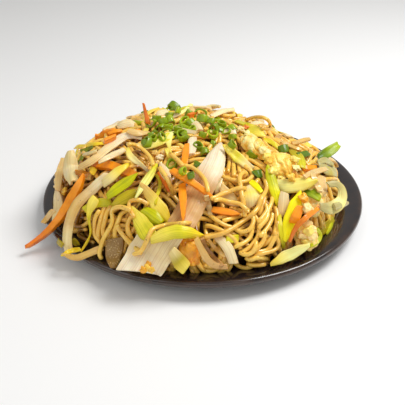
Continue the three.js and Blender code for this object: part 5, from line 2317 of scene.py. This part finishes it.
SLIVERS = (
    Topping("crossing_ribbon", Kind.LEAF, 4.6, ((170, 132), (168, 140), (169, 146), (171, 153)),
            (Hue.PALE, Hue.BUTTER), (1, 1, 0.5, 0.4, 0.15)),
    Topping("thin_curve", Kind.LEAF, 1.8, ((156, 174), (161, 184), (157, 195), (155, 205)), (Hue.CITRON,)),
    Topping("second_baton", Kind.ONION, 2.8, ((206, 195), (208, 204), (210, 214)), (Hue.STRAW,)),
    Topping("bottom_sliver", Kind.LEAF, 2.4, ((61, 256), (70, 251), (81, 249)), (Hue.YELLOW,),
            (0.2, 1, 1, 0.8)),
    Topping("small_cup", Kind.LEAF, 4.4, ((90, 169), (93, 171), (96, 173)), (Hue.YELLOW,)),
    Topping("grey_white", Kind.LEEK, 4, ((193, 122), (197, 126), (200, 131)), (Hue.CREAM,)),
    Topping("crown_leek", Kind.LEEK, 4.4, ((193, 139), (192, 147), (191, 155))),
    Topping("crown_strip_left", Kind.ONION, 3, ((104, 131), (112, 127), (120, 122)), (Hue.SHELL,)),
    Topping("crown_strip_right", Kind.LEEK, 3, ((211, 117), (222, 112), (234, 110)), (Hue.CREAM,)),
    Topping("pink_piece_left", Kind.ONION, 4, ((218, 131), (223, 132), (228, 132)), (Hue.SHELL,)),
    Topping("pink_piece_right", Kind.ONION, 4, ((226, 130), (231, 131), (236, 132)), (Hue.SHELL,)),
    Topping("thin_green", Kind.GREEN, 2.4, ((279, 215), (281, 230), (284, 248)), (Hue.CITRON,)),
    Topping("left_tip", Kind.ONION, 3.4, ((43, 223), (48, 217), (54, 210)), (Hue.TAN, Hue.HONEY)),
    Topping("green_right_low", Kind.GREEN, 6, ((318, 232), (327, 227), (334, 219)), (Hue.OLIVE,),
            ruffle=0.8),
    Topping("noodle_green", Kind.GREEN, 4, ((226, 239), (232, 239), (239, 238)), (Hue.CITRON,)),
    Topping("back_brown", Kind.ONION, 2.6, ((292, 144), (301, 141), (310, 139))),
    Topping("dark_fold", Kind.ONION, 3.4, ((75, 172), (84, 174), (93, 178)), (Hue.SOY,)),
    Topping("olive_bit_left", Kind.GREEN, 3.4, ((57, 240), (60, 243), (63, 246)), (Hue.OLIVE,)),
    Topping("olive_bit_right", Kind.GREEN, 3.4, ((72, 239), (75, 242), (78, 246)), (Hue.OLIVE,)),
    Topping("right_pale_strip", Kind.ONION, 3, ((304, 177), (314, 172), (326, 169)), (Hue.HONEY,)),
    Topping("right_tan_second", Kind.ONION, 3, ((312, 172), (315, 182), (320, 192)), (Hue.HONEY,)),
    Topping("right_mist_edge", Kind.LEAF, 4, ((318, 162), (326, 160), (334, 165)), (Hue.MIST,), ruffle=0.9),
    Topping("right_green_edge", Kind.GREEN, 3, ((333, 217), (331, 226), (326, 235)), keel=0.5),
    Topping("back_spikes", Kind.ONION, 2.4, ((281, 141), (290, 146), (301, 150))),
    Topping("crown_carrot_third", Kind.CARROT, 1.8, ((104, 142), (110, 139), (116, 136))),
    Topping("crown_straw", Kind.LEAF, 2.6, ((177, 116), (185, 110), (192, 104)), (Hue.PALE,)),
    Topping("crown_tip", Kind.ONION, 2.2, ((204, 108), (212, 106), (220, 107)), (Hue.STRAW,)),
    Topping("crown_pale_middle", Kind.ONION, 3, ((172, 128), (184, 131), (196, 133)), (Hue.SHELL,)),
    Topping("crown_left_pale", Kind.LEEK, 3.4, ((128, 131), (138, 134), (148, 133)), (Hue.HONEY,)),
    Topping("crown_yellow", Kind.LEAF, 3, ((166, 148), (169, 153), (170, 160))),
    Topping("left_dark_leaf", Kind.GREEN, 3.2, ((80, 151), (86, 150), (93, 147)), (Hue.MOSS,)),
    Topping("left_baton", Kind.ONION, 2.2, ((84, 155), (90, 153), (97, 151)), (Hue.STRAW,)),
    Topping("front_flat_second", Kind.ONION, 2.4, ((202, 239), (208, 251), (216, 260), (223, 266)),
            (Hue.BUFF,)),
    Topping("front_flat_third", Kind.ONION, 2.2, ((208, 240), (217, 250), (226, 257))),
    Topping("curl_tail", Kind.LEEK, 3, ((334, 207), (341, 205), (347, 203)), (Hue.MIST,), (1, 0.9, 0.3)),
    Topping("low_green_curl", Kind.GREEN, 2.6, ((309, 246), (317, 243), (321, 234), (316, 229))),
    Topping("flat_green", Kind.GREEN, 4.6, ((254, 175), (258, 174), (262, 173)), (Hue.FERN,), (1, 1, 1)),
    Topping("crown_wedge", Kind.ONION, 3.4, ((170, 117), (176, 116), (181, 114)), (Hue.CREAM,),
            (1, 1, 0.4)),
    Topping("crown_block", Kind.ONION, 4, ((207, 109), (212, 107), (217, 106)), (Hue.SHELL,),
            (0.4, 1, 1, 0.5)),
    Topping("crown_orange", Kind.CARROT, 1.8, ((188, 116), (192, 115), (196, 114)), (Hue.RUST,)),
    Topping("bowl_edge", Kind.LEAF, 3.6, ((250, 181), (256, 186), (262, 192)), (Hue.LEMON,), (0.7, 1, 0.5)),
    Topping("flat_green_right", Kind.GREEN, 4, ((299, 155), (304, 154), (309, 153)), (Hue.FERN,),
            (1, 1, 0.8)),
    Topping("leaf_top_back", Kind.GREEN, 3.4, ((236, 121), (243, 123), (250, 126)), (Hue.CITRON,)),
)

BACK_KINDS = {
    "onion": Topping("onion", Kind.ONION, 4, (), (Hue.HONEY,), facing=0),
    "leek": Topping("leek", Kind.LEEK, 4.6, (), (Hue.CREAM,), facing=0),
    "leaf": Topping("leaf", Kind.LEAF, 4.4, (), profile=(0.4, 1, 1, 0.3), facing=0, keel=0.6),
    "carrot": Topping("carrot", Kind.CARROT, 3, (), profile=(0.5, 1, 1, 0.4), facing=0),
    "green": Topping("green", Kind.GREEN, 4.6, (), (Hue.CITRON,), (0.3, 1, 1, 0.3), facing=0, keel=0.6),
}

RINGS = tuple(
    RingCut(*row)
    for row in (
        ((139, 122), 5.2, 1.8, 0.2, 0.87, 0.0),
        ((164, 121), 4.4, 3.2, 0.6, 0.8, 0.5),
        ((170, 127), 4.2, 3.0, 0.6, 0.8, 0.3),
        ((158, 130), 4.4, 2.6, 0.6, 0.74, 0.6),
        ((193, 129), 4.2, 2.8, 0.5, 0.8, 0.2),
        ((219, 130), 4.2, 2.8, 0.6, 0.8, 0.5),
        ((210, 122), 4.4, 3.2, 0.6, 0.74, 0.6),
        ((227, 130), 4.0, 2.4, 0.5, 0.8, 0.3),
        ((187, 133), 4.2, 3.0, 0.5, 0.8, 0.5),
        ((176, 136), 4.2, 2.8, 0.6, 0.74, 0.5),
        ((145, 143), 4.0, 2.6, 0.6, 0.74, 0.8),
        ((153, 134), 3.8, 2.6, 0.6, 0.74, 0.7),
        ((169, 115), 4.4, 3.0, 0.6, 0.74, 0.6),
        ((190, 113), 4.2, 3.0, 0.6, 0.74, 0.5),
        ((150, 121), 4.6, 2.7, 0.5, 0.74, 0.4),
        ((156, 118), 4.3, 2.9, 0.6, 0.74, 0.5),
        ((161, 126), 5.5, 3.4, 0.5, 0.78, 0.5),
        ((171, 121), 5.2, 3.4, 0.6, 0.78, 0.3),
        ((172, 106), 5.7, 3.7, 0.7, 0.83, 0.8),
        ((177, 111), 4.1, 3.4, 0.6, 0.64, 0.1),
        ((185, 120), 5.2, 2.1, 0.3, 0.83, 0.1),
        ((184, 127), 5.5, 2.2, 0.3, 0.83, 0.1),
        ((182, 135), 5.5, 3.2, 0.5, 0.78, 0.4),
        ((178, 128), 4.6, 2.4, 0.5, 0.78, 0.4),
        ((149, 141), 5.2, 3.0, 0.5, 0.78, 0.6),
        ((161, 136), 4.3, 2.6, 0.5, 0.74, 0.4),
        ((154, 138), 3.8, 2.4, 0.5, 0.74, 0.5),
        ((167, 131), 4.3, 2.7, 0.5, 0.74, 0.5),
        ((200, 112), 6.0, 3.4, 0.6, 0.83, 0.5),
        ((203, 120), 6.0, 3.5, 0.5, 0.83, 0.4),
        ((192, 123), 4.3, 3.2, 0.6, 0.74, 0.5),
        ((215, 119), 4.8, 2.1, 0.4, 0.78, 0.2),
        ((215, 127), 5.2, 2.9, 0.6, 0.78, 0.7),
        ((222, 124), 4.3, 2.9, 0.6, 0.74, 0.4),
        ((231, 125), 4.5, 3.2, 0.6, 0.74, 0.4),
        ((213, 134), 5.5, 2.2, 0.3, 0.83, 0.1),
        ((202, 134), 3.8, 2.4, 0.5, 0.74, 0.4),
        ((233, 137), 4.5, 2.1, 0.3, 0.78, 0.3),
        ((231, 144), 4.3, 2.4, 0.5, 0.78, 0.5),
        ((205, 149), 4.6, 3.0, 0.5, 0.78, 0.6),
        ((198, 146), 4.3, 2.6, 0.5, 0.78, 0.7),
        ((214, 144), 4.1, 2.6, 0.6, 0.74, 0.5),
        ((196, 165), 5.0, 2.9, 0.5, 0.78, 0.9),
        ((172, 164), 5.2, 1.9, 0.2, 0.83, 0.5),
        ((182, 170), 3.6, 1.9, 0.4, 0.83, 0.0),
        ((191, 175), 3.4, 2.4, 0.5, 0.74, 0.9),
        ((251, 154), 4.8, 3.2, 0.6, 0.64, 0.5),
        ((283, 144), 4.8, 3.8, 0.6, 0.64, 0.9),
    )
)

CRUMBS = (
    (242, 129, 4.4, Hue.PEACH),
    (247, 133, 3.6, Hue.EGG),
    (263, 150, 4.6, Hue.EGG),
    (267, 156, 5.2, Hue.CUSTARD),
    (270, 163, 4.8, Hue.YOLK),
    (273, 171, 4.6, Hue.CUSTARD),
    (281, 178, 4.4, Hue.CUSTARD),
    (291, 177, 4.2, Hue.YOLK),
    (296, 168, 3.8, Hue.EGG),
    (295, 159, 4.0, Hue.CUSTARD),
    (304, 198, 4.4, Hue.GOLD),
    (309, 201, 5.2, Hue.CUSTARD),
    (313, 205, 5.0, Hue.PEACH),
    (308, 208, 4.8, Hue.PEACH),
    (303, 235, 4.6, Hue.PEACH),
    (309, 231, 4.8, Hue.CUSTARD),
    (306, 241, 4.4, Hue.CUSTARD),
    (312, 236, 4.2, Hue.PEACH),
    (301, 229, 3.6, Hue.CUSTARD),
    (299, 243, 3.8, Hue.TAN),
    (64, 191, 3.6, Hue.YOLK),
    (155, 153, 3.2, Hue.TAN),
    (160, 157, 3.6, Hue.SHELL),
    (157, 162, 2.8, Hue.TAN),
    (163, 152, 2.6, Hue.HONEY),
    (206, 129, 3.0, Hue.YOLK),
    (211, 131, 2.6, Hue.EGG),
    (197, 142, 3.2, Hue.YOLK),
    (238, 130, 3.2, Hue.EGG),
    (246, 127, 3.0, Hue.RUST),
    (149, 264, 2.4, Hue.GOLD),
    (147, 268, 3.2, Hue.YOLK),
    (143, 270, 3.0, Hue.GOLD),
    (152, 270, 2.8, Hue.YOLK),
)

# Places on the sheet where the heap is lower than the mound: how wide and how deep, in millimetres.
HOLLOWS = (
    (90, 138, 10, 3.0),
    (104, 127, 10, 3.0),
    (124, 122, 9, 2.0),
    (281, 129, 12, 9.5),
    (300, 140, 9, 5.0),
    (316, 148, 8, 4.0),
    (334, 168, 8, 3.0),
    (336, 214, 8, 4.0),
    (322, 240, 9, 4.0),
    (306, 250, 8, 3.0),
    (84, 244, 9, 8.0),
    (98, 256, 8, 5.0),
    (50, 190, 8, 3.0),
    (70, 186, 6, 5.0),
)

# Noodles that lie under the toppings.
NOODLES = (
    # they run in from the middle
    ((194, 218), (203, 219), (212, 222)),
    ((215, 219), (223, 217), (231, 216), (239, 211)),
    ((223, 221), (232, 219), (241, 216)),
    ((206, 226), (220, 230), (234, 240), (240, 248)),
    ((232, 146), (236, 158), (240, 172)),
    ((237, 152), (240, 162), (246, 175)),
    ((226, 148), (229, 158), (228, 172)),
    ((231, 150), (233, 162), (234, 176)),
    ((242, 160), (250, 170), (262, 176), (266, 186)),
    ((249, 194), (251, 201), (249, 207), (247, 213)),
    ((264, 197), (262, 207), (259, 215)),
    ((258, 180), (250, 190), (240, 197), (230, 210)),
    # they bulge to the right and hang down the front
    ((248, 234), (243, 238), (235, 243)),
    ((252, 226), (251, 234), (248, 240), (241, 244), (234, 247)),
    ((254, 215), (258, 221), (258.5, 229), (257, 236), (253, 243), (248, 249), (240, 252)),
    ((266, 204), (266, 211), (262, 217), (259, 222)),
    ((272, 214), (270, 223), (266, 229), (260, 236)),
    ((275, 208), (277, 215), (276, 224), (274, 234), (268, 242), (262, 246)),
    ((278, 222), (279, 231), (275, 238), (271, 244), (264, 251), (254, 252)),
    ((275, 232), (278, 239), (277, 246), (272, 251), (264, 253), (255, 256)),
    ((269, 190), (271.5, 198), (270, 208), (267, 216), (263, 223), (259, 228)),
    ((266, 232), (262, 241), (256, 248), (250, 254)),
    ((243, 257), (249, 260), (256, 257), (268, 259)),
    ((239, 257), (241, 262), (242, 268)),
    ((243, 262), (252, 265), (264, 264)),
    ((196, 210), (206, 214), (215, 220), (223, 225), (231, 228), (238, 232), (245, 232), (251, 228),
     (253, 221), (251, 216)),
    # they hang down the front, left of the middle
    ((85, 207), (80, 215), (77, 223)),
    ((97, 215), (91, 219), (85, 225), (79, 228), (74, 224)),
    ((89, 230), (83, 229), (80, 232), (82, 237), (87, 241), (94, 243)),
    ((94, 228), (92, 235), (96, 243)),
    ((124, 216), (126, 222), (128, 229)),
    ((131, 217), (128, 225), (128.5, 232), (133, 239)),
    ((105, 205), (103, 213), (101, 220), (99.5, 228), (98.5, 235), (101, 243)),
    ((99, 211), (96, 219), (94, 227), (94, 233), (96.5, 239), (101, 243)),
    ((110.5, 207), (107.5, 216), (104.5, 224), (103.5, 232), (105, 239)),
    ((126, 211), (120, 218), (117, 226), (115, 233), (116, 238), (121, 244)),
)

# Noodles that lie over the toppings.
TOP_NOODLES = (
    ((265, 181), (265, 193), (261, 198), (258, 206), (252, 214), (243, 221), (233, 228), (224, 233),
     (215, 236), (205, 237)),
    ((222, 177), (229, 180), (237, 182), (246, 182), (252, 178), (253, 175), (249, 171), (245, 166)),
    ((242, 178), (247, 175), (243, 173), (239, 176), (239, 182), (240.5, 191), (242, 202), (243.5, 217)),
    ((185, 170), (190, 170), (196, 171), (202, 176), (206, 183), (208, 191)),
    ((150, 206), (143, 202), (134, 202), (129, 205), (130, 210), (134, 217)),
    ((130, 210), (124.5, 207.5), (118.5, 209), (115, 214), (113.5, 221), (111, 227.5), (108, 233),
     (106, 239), (105, 247), (104, 258)),
    ((119, 226), (124, 235), (129, 241), (135, 247), (141, 253)),
    ((134, 254), (140, 253), (145, 247), (149, 239), (153, 230), (166, 226), (190, 223)),
    ((160, 168), (169, 182), (174, 194)),
    ((187, 136), (197, 137), (207, 138)),
    ((211, 201), (221, 195), (234, 191), (246, 187)),
    ((213, 207), (225, 202), (238, 205), (247, 210)),
    ((130, 146), (141, 149), (149, 155), (153, 165)),
    ((166, 150), (176, 160), (183, 168)),
    ((218, 112), (227, 111), (234, 112), (236, 115), (227, 117), (218, 114)),
    ((219, 111), (211, 114), (211, 120), (208, 126)),
    ((246, 120, -1), (254, 117, 1), (262, 117, 4), (270, 121, 5), (270, 130, 2), (262, 128, -1)),
    ((237, 252), (244, 255), (251, 253), (255, 248), (256, 242)),
)


# ---------------------------------------------------------------- the whole


@dataclass(frozen=True)
class Heap:
    """The mound of noodles between the plate, the dark core and the toppings."""

    nodes: dict[str, bpy.types.Object]
    ridge: float = 3.6
    seed: int = 5
    far: float = 400.0
    ground: float = 200.0
    flattest: float = 0.05
    measured_from: float = 60.0

    def bare(self) -> Pile:
        """Takes the noodles off the solid heap and lowers it at its hollows.

        Returns:
            Its surface.
        """
        bare = Pile(opened(Solids(self.nodes, ["noodle_heap", "plate"]).cast(0.0), self.ridge))
        for x, y, radius, depth in HOLLOWS:
            away = np.linalg.norm(Pile.grid() - Pile.places(bare.spot(x, y, 0.0)), axis=-1)
            bare.reach -= depth * np.exp(-((away / radius) ** 2))
        return bare

    def fill(self, bare: Pile, core: bpy.types.Object, plate: bpy.types.Object) -> tuple[Pile, Tangle]:
        """Fills the heap with noodles.

        Args:
            bare: the heap without its noodles.
            core: the dark inside.
            plate: the glazed plate.

        Returns:
            The pile with noodles and toppings, and the tangle.
        """
        table = -Pile.PIVOT[2] / np.maximum(Pile.directions(Pile.grid())[..., 2], self.flattest)
        strips = Solids(self.nodes, [name for name in self.nodes if name not in ("plate", "noodle_heap")])
        inside = Solids({"core": core, "plate": plate}, ["core", "plate"])
        ground = Pile(np.maximum(inside.cast(0.0), np.minimum(table, self.ground)))
        ceiling = strips.cast(self.far, inward=False)
        tangle = Tangle(ground, ceiling, bare, self.seed)
        tangle.fill()
        for route in NOODLES:
            tangle.lay_route(route, tangle.pile, over=False)
        full = Pile(np.maximum(tangle.pile.reach, strips.cast(0.0)))
        # Painted shade on the noodles that lie deep under everything.
        tangle.shade(full)
        for route in TOP_NOODLES:
            tangle.lay_route(route, full, over=True)
        free = ceiling > self.far - 1
        rise = (tangle.pile.reach - bare.reach)[free & (bare.reach > self.measured_from)]
        low, high = np.percentile(rise, [5, 95])
        log.info("noodles stand %.2f mm over the core, from %.2f to %.2f", rise.mean(), low, high)
        return full, tangle


def main() -> None:
    """Builds the dish piece by piece."""
    logging.basicConfig(level=logging.INFO, format="%(name)s: %(message)s")
    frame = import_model()
    nodes = frame["nodes"]
    palette = Palette()
    Studio().build()
    plate = Plate().build(palette)
    heap = Heap(nodes)
    bare = heap.bare()
    core = Core().build(bare, palette)
    full, tangle = heap.fill(bare, core, plate)
    noodles = tangle.build(palette)
    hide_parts("noodle_heap")
    Toppings().build(nodes, palette)
    EggLumps().build(nodes, palette)
    Garnish().build(nodes, full, palette)
    SpringOnion().build(full, palette)
    Crumbs().build(full, palette)


if __name__ == "__main__":
    main()
